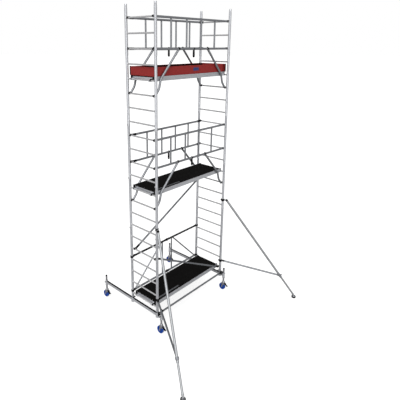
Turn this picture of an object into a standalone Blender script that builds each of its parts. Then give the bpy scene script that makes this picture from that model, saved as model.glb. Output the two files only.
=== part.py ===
"""Mobile tower scaffold on four castors, with three decks and two stabilisers.

Two ladder frames, each stacked from four sections, stand 1.98 m apart on wheeled
traverses. Platforms, guardrails and braces hook onto the rungs between them. +X runs
along the tower, +Y towards its rear and +Z up. The origin is on the floor, at the
middle of the space that the whole tower takes up.
"""

import math

import bmesh
import bpy
from mathutils import Matrix, Vector

# ---------------------------------------------------------------- overall sizes
TOWER_LENGTH = 1.98  # between the two end frames' centre planes
FRAME_WIDTH = 0.706  # between the centres of a frame's two uprights
RUNG_PITCH = 0.25
FIRST_RUNG_Z = 0.52

# Gaps that separate pieces keep from each other
FACE_GAP = 0.0005
RUN_GAP = 0.0008

# ---------------------------------------------------------------- end frames
UPRIGHT_RADIUS = 0.0245
UPRIGHT_WALL = 0.002
UPRIGHT_SIDES = 8
RUNG_RADIUS = 0.014
RUNG_WALL = 0.0025
RUNG_SIDES = 6
BORE_SIDES = 4
SOCKET_BELOW_RUNG = 0.09  # a section's lower end, below its first rung
SPIGOT_LENGTH = 0.06
SPIGOT_WALL = 0.003
FOOT_Z = 0.318  # lower end of the base frames' uprights
SECTIONS = (("base", 0, 6), ("lower", 6, 4), ("middle", 10, 4), ("top", 14, 8))

# ---------------------------------------------------------------- traverses and castors
BEAM_Z = 0.365
BEAM_WIDTH = 0.040
BEAM_HEIGHT = 0.055
BEAM_WALL = 0.003
SLEEVE_WALL = 0.005
SLEEVE_HALF = 0.045  # half the height of a castor sleeve
FOOT_LEDGE = 0.012  # floor under an upright's foot
CASTOR_FRONT = 0.105  # castor axis ahead of the front uprights
CASTOR_REAR = 1.568  # castor axis behind the front uprights
STEM_RADIUS = 0.0185
STEM_WALL = 0.003
STEM_TOP = 0.535
STEM_FOOT = 0.192
COLLAR_RADIUS = 0.029
COLLAR_HEIGHT = 0.018
KINGPIN_RADIUS = 0.010
WHEEL_RADIUS = 0.075
WHEEL_HALF = 0.020
WHEEL_TRAIL = 0.025
WHEEL_SIDES = 16
HUB_RADIUS = 0.021
AXLE_RADIUS = 0.008
FORK_GAP = 0.0035  # between the tyre's side and a fork leg
FORK_PLATE = 0.004
CROWN_RADIUS = 0.034
CROWN_THICK = 0.024
PEDAL_PIN = (-0.047, 0.150)  # y and z from the castor's axis and the floor
PEDAL_PIN_RADIUS = 0.004
PEDAL_HALF = 0.0175

# ---------------------------------------------------------------- platforms
DECK_TOP = 0.060  # above the rung that carries the platform
DECK_THICK = 0.012
SIDE_OFFSET = 0.070  # outer face of a side rail, from the uprights' centres
SIDE_LIP = 0.002  # how far a side rail stands above the deck
SIDE_BOTTOM = -0.015
SIDE_WALL = 0.003
SHELF_WIDTH = 0.020
END_INSET = 0.035  # end beam's centre, from the rung it hooks onto
END_THICK = 0.012
HOOK_OFFSET = 0.150  # hooks' centres, from the uprights' centres
HOOK_HALF = 0.020
HOOK_THICK = 0.016
HATCH_START = 0.150  # hatch's near edge, from the left end frame
HATCH_LENGTH = 0.600
HATCH_EDGE = 0.050  # deck left on each long side of the hatch
HATCH_PIN_RADIUS = 0.005
LEVELS = (("base", 0), ("middle", 9), ("upper", 17))  # rung that carries each platform

# ---------------------------------------------------------------- guardrails and toe boards
RAIL_RADIUS = 0.0195
POST_RADIUS = 0.0155
RAIL_SIDES = 8
POST_SIDES = 6
RAIL_OFFSET = 0.047  # guardrail's plane, from the uprights' centres
RAIL_HOOK_HALF = 0.0145
POST_SPACING = 0.390
LEG_START = 0.390  # where a leg leaves the middle rail, from the tower's centre
LEG_KNEE = (0.830, -0.480)  # x from the centre, z from the middle rail
LEG_ANKLE = (0.872, -0.640)
LEVER_LENGTH = 0.148
LEVER_WIDTH = 0.028
LEVER_THICK = 0.020
TOE_HEIGHT = 0.150
TOE_THICK = 0.018
TOE_END_INSET = 0.040
TOE_OFFSET = 0.084

# ---------------------------------------------------------------- braces and gate
BRACE_RADIUS = 0.0175
BRACE_RISE = 4  # rungs
FRONT_BRACE_OFFSET = 0.047
REAR_BRACE_OFFSET = 0.090
BASE_BRACE_AHEAD = 0.052
BASE_BRACE_Z = 0.420
GATE_RADIUS = 0.0195
GATE_BAR_RADIUS = 0.0140
GATE_TOP_Z = 1.320
GATE_LOW_Z = 0.5625
GATE_POST_X = 0.140
GATE_DIAGONAL = (0.170, 0.925)
GATE_SLEEVE_HALF = 0.0200
KNUCKLE_RADIUS = 0.016
KNUCKLE_PIN = 0.007

# ---------------------------------------------------------------- stabilisers
STAY_ANGLE = math.radians(30.6)  # outwards from straight ahead
STAY_TOP = (0.078, 2.140)  # distance from the upright's centre, and height
STAY_FOOT = (1.628, 0.050)  # foot's pivot
STAY_RADIUS = 0.0225
STAY_WALL = 0.0027
STAY_TUBE_LENGTH = 2.110
STAY_SIDES = 8
EXTENSION_WALL = 0.0025
EXTENSION_OVERLAP = 0.450  # length of the extension that stays inside the tube
STRUT_RADIUS = 0.0175
STRUT_CLAMP_Z = 0.690
STRUT_END = 0.060  # up the tube from its lower end
CLAMP_HALF = 0.025
CLAMP_WALL = 0.006
PAD_RADIUS = 0.045
PAD_THICK = 0.020
EYE_RADIUS = 0.014
EYE_HALF = 0.010
FOOT_PIN_RADIUS = 0.005
EAR_THICK = 0.006

# ---------------------------------------------------------------- places worked out from the sizes
HALF_LENGTH = TOWER_LENGTH / 2
STAY_REACH_Y = STAY_FOOT[0] * math.cos(STAY_ANGLE)
FRONT_Y = (STAY_REACH_Y + PAD_RADIUS - CASTOR_REAR - WHEEL_TRAIL - WHEEL_RADIUS) / 2
REAR_Y = FRONT_Y + FRAME_WIDTH
BORE_RADIUS = UPRIGHT_RADIUS - UPRIGHT_WALL
STAY_BORE = STAY_RADIUS - STAY_WALL
EXTENSION_RADIUS = STAY_BORE - RUN_GAP
SIDES = (("left", -1), ("right", 1))
FACES = (("front", FRONT_Y, 1), ("rear", REAR_Y, -1))

# ---------------------------------------------------------------- finishes
FINISHES = {
    "aluminium": ((0.74, 0.75, 0.77, 1), 0.38, 0.85),
    "rail_aluminium": ((0.50, 0.51, 0.52, 1), 0.42, 0.80),
    "zinc_steel": ((0.62, 0.62, 0.63, 1), 0.35, 0.90),
    "black_plastic": ((0.02, 0.02, 0.022, 1), 0.50, 0.0),
    "deck_black": ((0.016, 0.014, 0.013, 1), 0.72, 0.0),
    "toe_board_red": ((0.42, 0.035, 0.035, 1), 0.45, 0.0),
    "wheel_blue": ((0.02, 0.09, 0.42, 1), 0.38, 0.0),
    "rubber": ((0.035, 0.035, 0.037, 1), 0.75, 0.0),
}


def clear_scene():
    """Remove everything that the new file came with."""
    for item in list(bpy.data.objects):
        bpy.data.objects.remove(item, do_unlink=True)


def finish(name):
    """The named material, made on its first use."""
    made = bpy.data.materials.get(name)
    if made:
        return made
    colour, roughness, metallic = FINISHES[name]
    made = bpy.data.materials.new(name)
    made.use_nodes = True
    made.diffuse_color = colour
    shader = made.node_tree.nodes["Principled BSDF"]
    shader.inputs["Base Color"].default_value = colour
    shader.inputs["Roughness"].default_value = roughness
    shader.inputs["Metallic"].default_value = metallic
    return made


def clear_of(radius, sides):
    """Corner radius of a many-sided bore that clears a round bar, however it is turned."""
    return (radius + RUN_GAP) / math.cos(math.pi / sides)


CLAMP_BORE = clear_of(UPRIGHT_RADIUS, UPRIGHT_SIDES)


def rung_z(index):
    """Height of a rung's centre, counted from the lowest."""
    return FIRST_RUNG_Z + index * RUNG_PITCH


# ---------------------------------------------------------------- shapes
def mesh_of(bm):
    """Turn a closed bmesh into a mesh with its faces outward."""
    bmesh.ops.recalc_face_normals(bm, faces=bm.faces)
    mesh = bpy.data.meshes.new("shape")
    bm.to_mesh(mesh)
    bm.free()
    return mesh


def rings_mesh(rings, closed):
    """Skin a row of vertex rings; closed joins the last ring to the first."""
    bm = bmesh.new()
    made = [[bm.verts.new(point) for point in ring] for ring in rings]
    pairs = list(zip(made, made[1:]))
    if closed:
        pairs.append((made[-1], made[0]))
    for low, high in pairs:
        count = max(len(low), len(high))
        for i in range(count):
            j = (i + 1) % count
            if len(low) == 1:
                bm.faces.new((low[0], high[j], high[i]))
            elif len(high) == 1:
                bm.faces.new((low[i], low[j], high[0]))
            else:
                bm.faces.new((low[i], low[j], high[j], high[i]))
    if not closed:
        for ring in (made[0], made[-1]):
            if len(ring) > 2:
                bm.faces.new(ring)
    return mesh_of(bm)


def turned(profile, sides, place=None, hollow=True, flat_start=False):
    """Turn a profile of (radius, height) points round Z, then move it by place."""
    place = place or Matrix.Identity(4)
    first = math.pi / sides if flat_start else 0.0
    rings = []
    for radius, height in profile:
        if radius == 0.0:
            rings.append([place @ Vector((0, 0, height))])
            continue
        angles = [first + 2 * math.pi * i / sides for i in range(sides)]
        rings.append([place @ Vector((radius * math.cos(a), radius * math.sin(a), height)) for a in angles])
    return rings_mesh(rings, hollow)


def along(start, end):
    """Matrix that puts the origin at start and +Z towards end."""
    direction = Vector(end) - Vector(start)
    turn = Vector((0, 0, 1)).rotation_difference(direction).to_matrix().to_4x4()
    return Matrix.Translation(start) @ turn


def bar(start, end, radius, sides=RAIL_SIDES):
    """Solid round bar between two points."""
    length = (Vector(end) - Vector(start)).length
    return turned([(radius, 0), (radius, length)], sides, along(start, end), hollow=False)


def ring(centre, inner, outer, half, sides=UPRIGHT_SIDES):
    """Upright collar with a round hole, centred on a point."""
    profile = [(inner, -half), (outer, -half), (outer, half), (inner, half)]
    return turned(profile, sides, Matrix.Translation(centre))


def bent_bar(points, radius, sides=RAIL_SIDES):
    """Round bar through points, mitred at each bend; the bends lie in an XZ plane."""
    points = [Vector(point) for point in points]
    rings = []
    for i, point in enumerate(points):
        before = (point - points[i - 1]).normalized() if i else None
        after = (points[i + 1] - point).normalized() if i + 1 < len(points) else None
        ahead = ((before or after) + (after or before)).normalized()
        across = Vector((0, 1, 0))
        out = across.cross(ahead)
        stretch = 1 / ahead.dot(after or before)
        loop = []
        for k in range(sides):
            angle = 2 * math.pi * k / sides
            loop.append(point + radius * (math.cos(angle) * stretch * out + math.sin(angle) * across))
        rings.append(loop)
    return rings_mesh(rings, False)


def block(low, high):
    """Box between two corners."""
    bm = bmesh.new()
    size = [high[i] - low[i] for i in range(3)]
    centre = [(high[i] + low[i]) / 2 for i in range(3)]
    bmesh.ops.create_cube(bm, size=1.0, matrix=Matrix.Translation(centre) @ Matrix.Diagonal((*size, 1)))
    return mesh_of(bm)


def prism_x(outline, start, end):
    """Outline of (y, z) points, drawn out along X."""
    rings = [[Vector((x, y, z)) for y, z in outline] for x in (start, end)]
    return rings_mesh(rings, False)


def prism_y(outline, start, end):
    """Outline of (x, z) points, drawn out along Y."""
    rings = [[Vector((x, y, z)) for x, z in outline] for y in (start, end)]
    return rings_mesh(rings, False)


def operands(meshes, label):
    """Put meshes into a collection for a Boolean to read."""
    group = bpy.data.collections.new(label)
    for mesh in meshes:
        item = bpy.data.objects.new(label, mesh)
        group.objects.link(item)
        bpy.context.scene.collection.objects.link(item)
    return group


def boolean(item, operation, group):
    """Add an exact Boolean against a collection."""
    step = item.modifiers.new(operation.lower(), "BOOLEAN")
    step.operation = operation
    step.solver = "EXACT"
    step.operand_type = "COLLECTION"
    step.collection = group


def part(name, finish_name, solids, cuts=(), origin=(0, 0, 0)):
    """One named sub-part: the union of solids less the cuts, with its origin where it turns."""
    base = bpy.data.objects.new(name, solids[0])
    bpy.context.scene.collection.objects.link(base)
    groups = []
    if len(solids) > 1:
        groups.append(operands(solids[1:], "solids"))
        boolean(base, "UNION", groups[-1])
    if cuts:
        groups.append(operands(cuts, "cuts"))
        boolean(base, "DIFFERENCE", groups[-1])
    bpy.context.view_layer.update()
    mesh = bpy.data.meshes.new_from_object(base.evaluated_get(bpy.context.evaluated_depsgraph_get()))
    base.modifiers.clear()
    for group in groups:
        for item in list(group.objects):
            bpy.data.objects.remove(item, do_unlink=True)
        bpy.data.collections.remove(group)
    mesh.name = name
    mesh.materials.clear()
    mesh.materials.append(finish(finish_name))
    mesh.transform(Matrix.Translation(-Vector(origin)))
    mesh.shade_smooth()
    mesh.set_sharp_from_angle(angle=math.radians(50))
    base.data = mesh
    base.location = origin
    return base


# ---------------------------------------------------------------- end frames
def upright(x, y, low, shoulder, socket):
    """Tube with a spigot on top; socket is how far the wide bore reaches up."""
    inner = BORE_RADIUS - RUN_GAP - SPIGOT_WALL
    profile = [
        (BORE_RADIUS, low),
        (UPRIGHT_RADIUS, low),
        (UPRIGHT_RADIUS, shoulder),
        (BORE_RADIUS - RUN_GAP, shoulder),
        (BORE_RADIUS - RUN_GAP, shoulder + SPIGOT_LENGTH),
        (inner, shoulder + SPIGOT_LENGTH),
        (inner, socket),
        (BORE_RADIUS, socket),
    ]
    return turned(profile, UPRIGHT_SIDES, Matrix.Translation((x, y, 0)))


def end_frame(side, x, label, first, count):
    """One ladder section: two uprights with rungs welded between them."""
    low = FOOT_Z if first == 0 else rung_z(first) - SOCKET_BELOW_RUNG + FACE_GAP
    shoulder = rung_z(first + count) - SOCKET_BELOW_RUNG
    solids = [upright(x, y, low, shoulder, shoulder - SPIGOT_LENGTH) for y in (FRONT_Y, REAR_Y)]
    weld = UPRIGHT_RADIUS * 0.7
    cuts = []
    for index in range(first, first + count):
        z = rung_z(index)
        solids.append(bar((x, FRONT_Y + weld, z), (x, REAR_Y - weld, z), RUNG_RADIUS, RUNG_SIDES))
        bore = RUNG_RADIUS - RUNG_WALL
        cuts.append(bar((x, FRONT_Y + weld / 2, z), (x, REAR_Y - weld / 2, z), bore, BORE_SIDES))
    part(f"{side}_{label}_frame", "aluminium", solids, cuts)


def build_frames():
    """Both ladders, each of four stacked sections."""
    for side, sign in SIDES:
        for label, first, count in SECTIONS:
            end_frame(side, sign * HALF_LENGTH, label, first, count)


# ---------------------------------------------------------------- traverses and castors
def traverse(side, x):
    """Hollow beam under an end frame, with sleeves for its feet and its castors."""
    front = FRONT_Y - CASTOR_FRONT
    rear = FRONT_Y + CASTOR_REAR
    half_width = BEAM_WIDTH / 2
    half_height = BEAM_HEIGHT / 2
    low = (x - half_width, front, BEAM_Z - half_height)
    solids = [block(low, (x + half_width, rear, BEAM_Z + half_height))]
    cuts = [
        block(
            (x - half_width + BEAM_WALL, front, BEAM_Z - half_height + BEAM_WALL),
            (x + half_width - BEAM_WALL, rear, BEAM_Z + half_height - BEAM_WALL),
        )
    ]
    stem_bore = clear_of(STEM_RADIUS, UPRIGHT_SIDES)
    low = BEAM_Z - SLEEVE_HALF
    high = BEAM_Z + SLEEVE_HALF
    for y in (front, rear):
        solids.append(bar((x, y, low), (x, y, high), stem_bore + SLEEVE_WALL, UPRIGHT_SIDES))
        cuts.append(bar((x, y, low - 0.01), (x, y, high + 0.01), stem_bore, UPRIGHT_SIDES))
    foot = FOOT_Z - FACE_GAP
    for y in (FRONT_Y, REAR_Y):
        solids.append(bar((x, y, foot - FOOT_LEDGE), (x, y, high), CLAMP_BORE + SLEEVE_WALL, UPRIGHT_SIDES))
        cuts.append(bar((x, y, foot), (x, y, high + 0.01), CLAMP_BORE, UPRIGHT_SIDES))
    part(f"{side}_traverse", "aluminium", solids, cuts)


def castor_stem(name, x, y):
    """Height-adjusting stem: collar under the sleeve, kingpin below."""
    collar_top = BEAM_Z - SLEEVE_HALF - FACE_GAP
    collar_low = collar_top - COLLAR_HEIGHT
    pin_low = STEM_FOOT - CROWN_THICK
    inner = STEM_RADIUS - STEM_WALL
    profile = [
        (0.0, pin_low),
        (KINGPIN_RADIUS, pin_low),
        (KINGPIN_RADIUS, STEM_FOOT),
        (COLLAR_RADIUS, STEM_FOOT),
        (COLLAR_RADIUS, STEM_FOOT + 0.008),
        (STEM_RADIUS, STEM_FOOT + 0.020),
        (STEM_RADIUS, collar_low),
        (COLLAR_RADIUS, collar_low),
        (COLLAR_RADIUS, collar_top),
        (STEM_RADIUS, collar_top),
        (STEM_RADIUS, STEM_TOP),
        (inner, STEM_TOP),
        (inner, collar_top),
        (0.0, collar_top),
    ]
    shape = turned(profile, UPRIGHT_SIDES, Matrix.Translation((x, y, 0)), hollow=False)
    part(f"{name}_stem", "zinc_steel", [shape], origin=(x, y, 0))


def castor_fork(name, x, y):
    """Crown plate, two legs, the wheel's axle and the brake's pin."""
    crown_top = STEM_FOOT - FACE_GAP
    crown_low = crown_top - CROWN_THICK
    inner = WHEEL_HALF + FORK_GAP
    outer = inner + FORK_PLATE
    axle_y = y + WHEEL_TRAIL
    solids = [bar((x, y, crown_low), (x, y, crown_top), CROWN_RADIUS, UPRIGHT_SIDES)]
    pin_y = y + PEDAL_PIN[0]
    pin_z = PEDAL_PIN[1]
    outline = [
        (y - CROWN_RADIUS + 0.004, crown_top - 0.002),
        (pin_y - 0.006, pin_z + 0.014),
        (pin_y - 0.010, pin_z - 0.010),
        (pin_y + 0.012, pin_z - 0.014),
        (axle_y - 0.018, WHEEL_RADIUS - 0.004),
        (axle_y - 0.007, WHEEL_RADIUS - 0.016),
        (axle_y + 0.007, WHEEL_RADIUS - 0.016),
        (axle_y + 0.018, WHEEL_RADIUS - 0.004),
        (y + CROWN_RADIUS - 0.004, crown_low - 0.010),
        (y + CROWN_RADIUS - 0.004, crown_top - 0.002),
    ]
    for sign in (-1, 1):
        solids.append(prism_x(outline, x + sign * inner, x + sign * outer))
    axle_end = outer + 0.005
    ends = [(x + sign * axle_end, axle_y, WHEEL_RADIUS) for sign in (-1, 1)]
    solids.append(bar(*ends, AXLE_RADIUS))
    solids.append(bar((x - outer + 0.001, pin_y, pin_z), (x + outer - 0.001, pin_y, pin_z), PEDAL_PIN_RADIUS))
    bore = clear_of(KINGPIN_RADIUS, UPRIGHT_SIDES)
    hole = bar((x, y, crown_low - 0.01), (x, y, crown_top + 0.01), bore, UPRIGHT_SIDES)
    part(f"{name}_fork", "zinc_steel", solids, [hole], origin=(x, y, 0))


def castor_wheel(name, x, y):
    """Wheel with a dished web and a plain bore, flat where it meets the floor."""
    tread = WHEEL_RADIUS / math.cos(math.pi / WHEEL_SIDES)
    bore = clear_of(AXLE_RADIUS, WHEEL_SIDES)
    half = [
        (bore, WHEEL_HALF + 0.001),
        (HUB_RADIUS, WHEEL_HALF + 0.001),
        (HUB_RADIUS + 0.003, 0.008),
        (tread - 0.021, 0.008),
        (tread - 0.017, WHEEL_HALF),
        (tread - 0.005, WHEEL_HALF),
        (tread, WHEEL_HALF - 0.006),
    ]
    profile = half + [(radius, -height) for radius, height in reversed(half)]
    centre = (x, y + WHEEL_TRAIL, WHEEL_RADIUS)
    place = Matrix.Translation(centre) @ Matrix.Rotation(math.pi / 2, 4, "Y")
    shape = turned(profile, WHEEL_SIDES, place, flat_start=True)
    part(f"{name}_wheel", "wheel_blue", [shape], origin=centre)


def castor_brake(name, x, y):
    """Foot pedal of the brake, on its pin at the fork's front."""
    pin_y = y + PEDAL_PIN[0]
    pin_z = PEDAL_PIN[1]
    outline = [
        (pin_y + 0.009, pin_z + 0.006),
        (pin_y + 0.002, pin_z + 0.011),
        (pin_y - 0.014, pin_z + 0.008),
        (pin_y - 0.044, pin_z - 0.021),
        (pin_y - 0.068, pin_z - 0.030),
        (pin_y - 0.068, pin_z - 0.038),
        (pin_y - 0.042, pin_z - 0.033),
        (pin_y - 0.012, pin_z - 0.011),
        (pin_y + 0.006, pin_z - 0.008),
    ]
    shape = prism_x(outline, x - PEDAL_HALF, x + PEDAL_HALF)
    bore = clear_of(PEDAL_PIN_RADIUS, RAIL_SIDES)
    hole = bar((x - 2 * PEDAL_HALF, pin_y, pin_z), (x + 2 * PEDAL_HALF, pin_y, pin_z), bore)
    part(f"{name}_brake", "black_plastic", [shape], [hole], origin=(x, pin_y, pin_z))


def build_base():
    """Traverses and their four castors."""
    for side, sign in SIDES:
        x = sign * HALF_LENGTH
        traverse(side, x)
        for face, y in (("front", FRONT_Y - CASTOR_FRONT), ("rear", FRONT_Y + CASTOR_REAR)):
            name = f"{face}_{side}_castor"
            castor_stem(name, x, y)
            castor_fork(name, x, y)
            castor_wheel(name, x, y)
            castor_brake(name, x, y)


# ---------------------------------------------------------------- hooks on rungs
def rung_hook(sign, y, z, half, reach, low=-RUNG_RADIUS):
    """Claw that lies over a rung at one end of the tower and drops outside it."""
    x = sign * HALF_LENGTH
    seat = RUNG_RADIUS + FACE_GAP
    lip = seat + HOOK_THICK * 0.5
    outline = [
        (x - sign * reach, z + low),
        (x - sign * seat, z + low),
        (x - sign * seat, z + seat),
        (x + sign * seat, z + seat),
        (x + sign * seat, z - RUNG_RADIUS * 0.4),
        (x + sign * lip, z - RUNG_RADIUS * 0.4),
        (x + sign * lip, z + seat + HOOK_THICK * 0.6),
        (x + sign * seat * 0.5, z + seat + HOOK_THICK),
        (x - sign * reach, z + seat + HOOK_THICK),
    ]
    return prism_y(outline, y - half, y + half)


# ---------------------------------------------------------------- platforms
def side_rail(z, face_y, inward):
    """Outline of a side rail: an upright web, a shelf for the deck and a foot flange."""
    shelf = z + DECK_TOP - DECK_THICK - FACE_GAP
    outer = face_y + inward * SIDE_OFFSET
    web = outer + inward * SIDE_WALL
    tip = outer + inward * SHELF_WIDTH
    return [
        (outer, z + SIDE_BOTTOM),
        (tip, z + SIDE_BOTTOM),
        (tip, z + SIDE_BOTTOM + SIDE_WALL),
        (web, z + SIDE_BOTTOM + SIDE_WALL),
        (web, shelf - SIDE_WALL),
        (tip, shelf - SIDE_WALL),
        (tip, shelf),
        (web, shelf),
        (web, z + DECK_TOP + SIDE_LIP),
        (outer, z + DECK_TOP + SIDE_LIP),
    ]


def hatch_box():
    """Low and high x and y of a hatch cut-out in its deck."""
    x0 = -HALF_LENGTH + HATCH_START
    edge = SIDE_OFFSET + SIDE_WALL + HATCH_EDGE
    return x0, x0 + HATCH_LENGTH, FRONT_Y + edge, REAR_Y - edge


def platform_frame(label, z):
    """Side rails, end beams, cross members under the deck and four hooks."""
    half = HALF_LENGTH - END_INSET + END_THICK / 2
    solids = [prism_x(side_rail(z, y, inward), -half, half) for _, y, inward in FACES]
    shelf = z + DECK_TOP - DECK_THICK - FACE_GAP
    web = SIDE_OFFSET + SIDE_WALL / 2
    low_y = FRONT_Y + web
    high_y = REAR_Y - web
    for sign in (-1, 1):
        x = sign * (HALF_LENGTH - END_INSET)
        thick = END_THICK / 2
        solids.append(block((x - thick, low_y, z + SIDE_BOTTOM + 0.001), (x + thick, high_y, shelf)))
        for _, y, inward in FACES:
            reach = END_INSET + END_THICK / 2 - 0.002
            solids.append(rung_hook(sign, y + inward * HOOK_OFFSET, z, HOOK_HALF, reach))
    x0, x1 = hatch_box()[:2]
    ledge = 0.012
    for x in (x0 + ledge - 0.020, x1 - ledge, (x1 + HALF_LENGTH) / 3, (x1 + 2 * HALF_LENGTH) / 3.2):
        solids.append(block((x, low_y, shelf - 0.022), (x + 0.020, high_y, shelf)))
    part(f"{label}_platform_frame", "aluminium", solids)


def platform_deck(label, z):
    """Deck panel with its hatch cut out."""
    half = HALF_LENGTH - END_INSET + END_THICK / 2
    edge = SIDE_OFFSET + SIDE_WALL + FACE_GAP
    low = z + DECK_TOP - DECK_THICK
    panel = block((-half, FRONT_Y + edge, low), (half, REAR_Y - edge, z + DECK_TOP))
    x0, x1, y0, y1 = hatch_box()
    cut = block((x0, y0, low - 0.01), (x1, y1, z + DECK_TOP + 0.01))
    part(f"{label}_platform_deck", "deck_black", [panel], [cut])


def platform_hatch(label, z):
    """Hatch lid with a hinge barrel along its front edge."""
    x0, x1, y0, y1 = hatch_box()
    low = z + DECK_TOP - DECK_THICK
    barrel = HATCH_PIN_RADIUS
    gap = 0.002
    axis_y = y0 + gap + barrel
    axis_z = z + DECK_TOP - barrel
    panel = block((x0 + gap, axis_y, low), (x1 - gap, y1 - gap, z + DECK_TOP))
    solids = [panel, bar((x0 + gap, axis_y, axis_z), (x1 - gap, axis_y, axis_z), barrel)]
    part(f"{label}_platform_hatch", "deck_black", solids, origin=((x0 + x1) / 2, axis_y, axis_z))


def build_platforms():
    """Three platforms, each a frame, a deck and a hatch."""
    for label, index in LEVELS:
        z = rung_z(index)
        platform_frame(label, z)
        platform_deck(label, z)
        platform_hatch(label, z)


def build_toe_boards():
    """Four boards that close the top platform's edge."""
    low = rung_z(LEVELS[-1][1]) + DECK_TOP + SIDE_LIP + FACE_GAP
    high = low + TOE_HEIGHT
    half = TOE_THICK / 2
    end_x = HALF_LENGTH - TOE_END_INSET
    clear = UPRIGHT_RADIUS + 0.008
    for side, sign in SIDES:
        x = sign * end_x
        board = block((x - half, FRONT_Y + clear, low), (x + half, REAR_Y - clear, high))
        part(f"{side}_toe_board", "toe_board_red", [board])
    reach = end_x - half - FACE_GAP
    for face, face_y, inward in FACES:
        y = face_y + inward * TOE_OFFSET
        board = block((-reach, y - half, low), (reach, y + half, high))
        part(f"{face}_toe_board", "toe_board_red", [board])


# ---------------------------------------------------------------- guardrails
def guardrail(name, face_y, inward, level):
    """Two rails, four posts and two bent legs, hooked onto six rungs."""
    y = face_y + inward * RAIL_OFFSET
    top = rung_z(level + 4)
    middle = rung_z(level + 2)
    foot = rung_z(level - 1)
    end = HALF_LENGTH - RUNG_RADIUS * 2
    reach = RUNG_RADIUS * 3
    solids = [bar((-end, y, z), (end, y, z), RAIL_RADIUS) for z in (top, middle)]
    for k in (-1.5, -0.5, 0.5, 1.5):
        x = k * POST_SPACING
        solids.append(bar((x, y, middle), (x, y, top), POST_RADIUS, POST_SIDES))
    for sign in (-1, 1):
        points = [
            (sign * LEG_START, y, middle),
            (sign * LEG_KNEE[0], y, middle + LEG_KNEE[1]),
            (sign * LEG_ANKLE[0], y, middle + LEG_ANKLE[1]),
            (sign * (HALF_LENGTH - reach + 0.004), y, foot + 0.012),
        ]
        solids.append(bent_bar(points, RAIL_RADIUS))
        for z in (top, middle, foot):
            solids.append(rung_hook(sign, y, z, RAIL_HOOK_HALF, reach))
    part(name, "rail_aluminium", solids)
    return y, middle


def guardrail_lever(name, y, z):
    """Handle that hangs from a collar on the middle rail."""
    inner = clear_of(RAIL_RADIUS, UPRIGHT_SIDES)
    outer = inner + 0.005
    half = LEVER_WIDTH / 2
    place = Matrix.Translation((0, y, z)) @ Matrix.Rotation(math.pi / 2, 4, "Y")
    profile = [(inner, -half), (outer, -half), (outer, half), (inner, half)]
    collar = turned(profile, UPRIGHT_SIDES, place)
    thick = LEVER_THICK / 2
    grip = block((-half, y - thick, z - LEVER_LENGTH), (half, y + thick, z - inner - 0.001))
    part(name, "black_plastic", [collar, grip], origin=(0, y, z))


def build_guardrails():
    """Front and rear guardrails of the middle and upper platforms."""
    for label, index in LEVELS[1:]:
        for face, face_y, inward in FACES:
            name = f"{label}_{face}_guardrail"
            y, z = guardrail(name, face_y, inward, index)
            guardrail_lever(f"{name}_lever", y, z)


# ---------------------------------------------------------------- braces
def diagonal_brace(name, y, left_rung, right_rung):
    """Straight tube between rungs at opposite ends, with a claw at each."""
    reach = RUNG_RADIUS * 3
    ends = []
    solids = []
    for sign, index in ((-1, left_rung), (1, right_rung)):
        ends.append((sign * (HALF_LENGTH - reach + 0.006), y, rung_z(index) + 0.006))
        solids.append(rung_hook(sign, y, rung_z(index), RAIL_HOOK_HALF, reach))
    part(name, "aluminium", [bar(ends[0], ends[1], BRACE_RADIUS), *solids])


def base_brace():
    """Level tube between the traverses, clawed over both beams."""
    y = FRONT_Y - BASE_BRACE_AHEAD
    solids = [bar((-HALF_LENGTH, y, BASE_BRACE_Z), (HALF_LENGTH, y, BASE_BRACE_Z), BRACE_RADIUS)]
    seat = BEAM_Z + BEAM_HEIGHT / 2 + FACE_GAP
    inner = BEAM_WIDTH / 2 + FACE_GAP
    outer = inner + 0.008
    half = 0.0135
    for sign in (-1, 1):
        x = sign * HALF_LENGTH
        solids.append(block((x - outer, y - half, seat - 0.025), (x + outer, y + half, BASE_BRACE_Z + 0.010)))
    cuts = [
        block(
            (sign * HALF_LENGTH - inner, y - 0.03, BEAM_Z),
            (sign * HALF_LENGTH + inner, y + 0.03, seat),
        )
        for sign in (-1, 1)
    ]
    part("base_brace", "aluminium", solids, cuts)


def build_braces():
    """Two diagonals and the level base brace."""
    low = BRACE_RISE
    diagonal_brace("rear_diagonal_brace", REAR_Y - REAR_BRACE_OFFSET, low, low + BRACE_RISE)
    diagonal_brace("front_diagonal_brace", FRONT_Y + FRONT_BRACE_OFFSET, low, 0)
    base_brace()


# ---------------------------------------------------------------- folding gate of the base
def gate_half(side, sign):
    """Half of the folding gate: two rails, a post, a diagonal, sleeves and knuckles."""
    upright_x = sign * HALF_LENGTH
    start = upright_x - sign * (CLAMP_BORE + CLAMP_WALL / 2)
    end = sign * (KNUCKLE_RADIUS * 0.7)
    solids = []
    cuts = []
    for z in (GATE_TOP_Z, GATE_LOW_Z):
        half = GATE_SLEEVE_HALF
        centre = (upright_x, REAR_Y, z)
        solids.append(bar((start, REAR_Y, z), (end, REAR_Y, z), GATE_RADIUS))
        solids.append(ring(centre, CLAMP_BORE, CLAMP_BORE + CLAMP_WALL, half))
        ends = [(upright_x, REAR_Y, z + way * (half + 0.01)) for way in (-1, 1)]
        cuts.append(bar(*ends, CLAMP_BORE, UPRIGHT_SIDES))
    near, far = GATE_DIAGONAL
    for top_x, low_x in ((GATE_POST_X, GATE_POST_X), (near, far)):
        ends = (sign * top_x, REAR_Y, GATE_TOP_Z), (sign * low_x, REAR_Y, GATE_LOW_Z)
        solids.append(bar(*ends, GATE_BAR_RADIUS, POST_SIDES))
    knuckles(sign, solids, cuts)
    part(f"{side}_gate", "rail_aluminium", solids, cuts)


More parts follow.
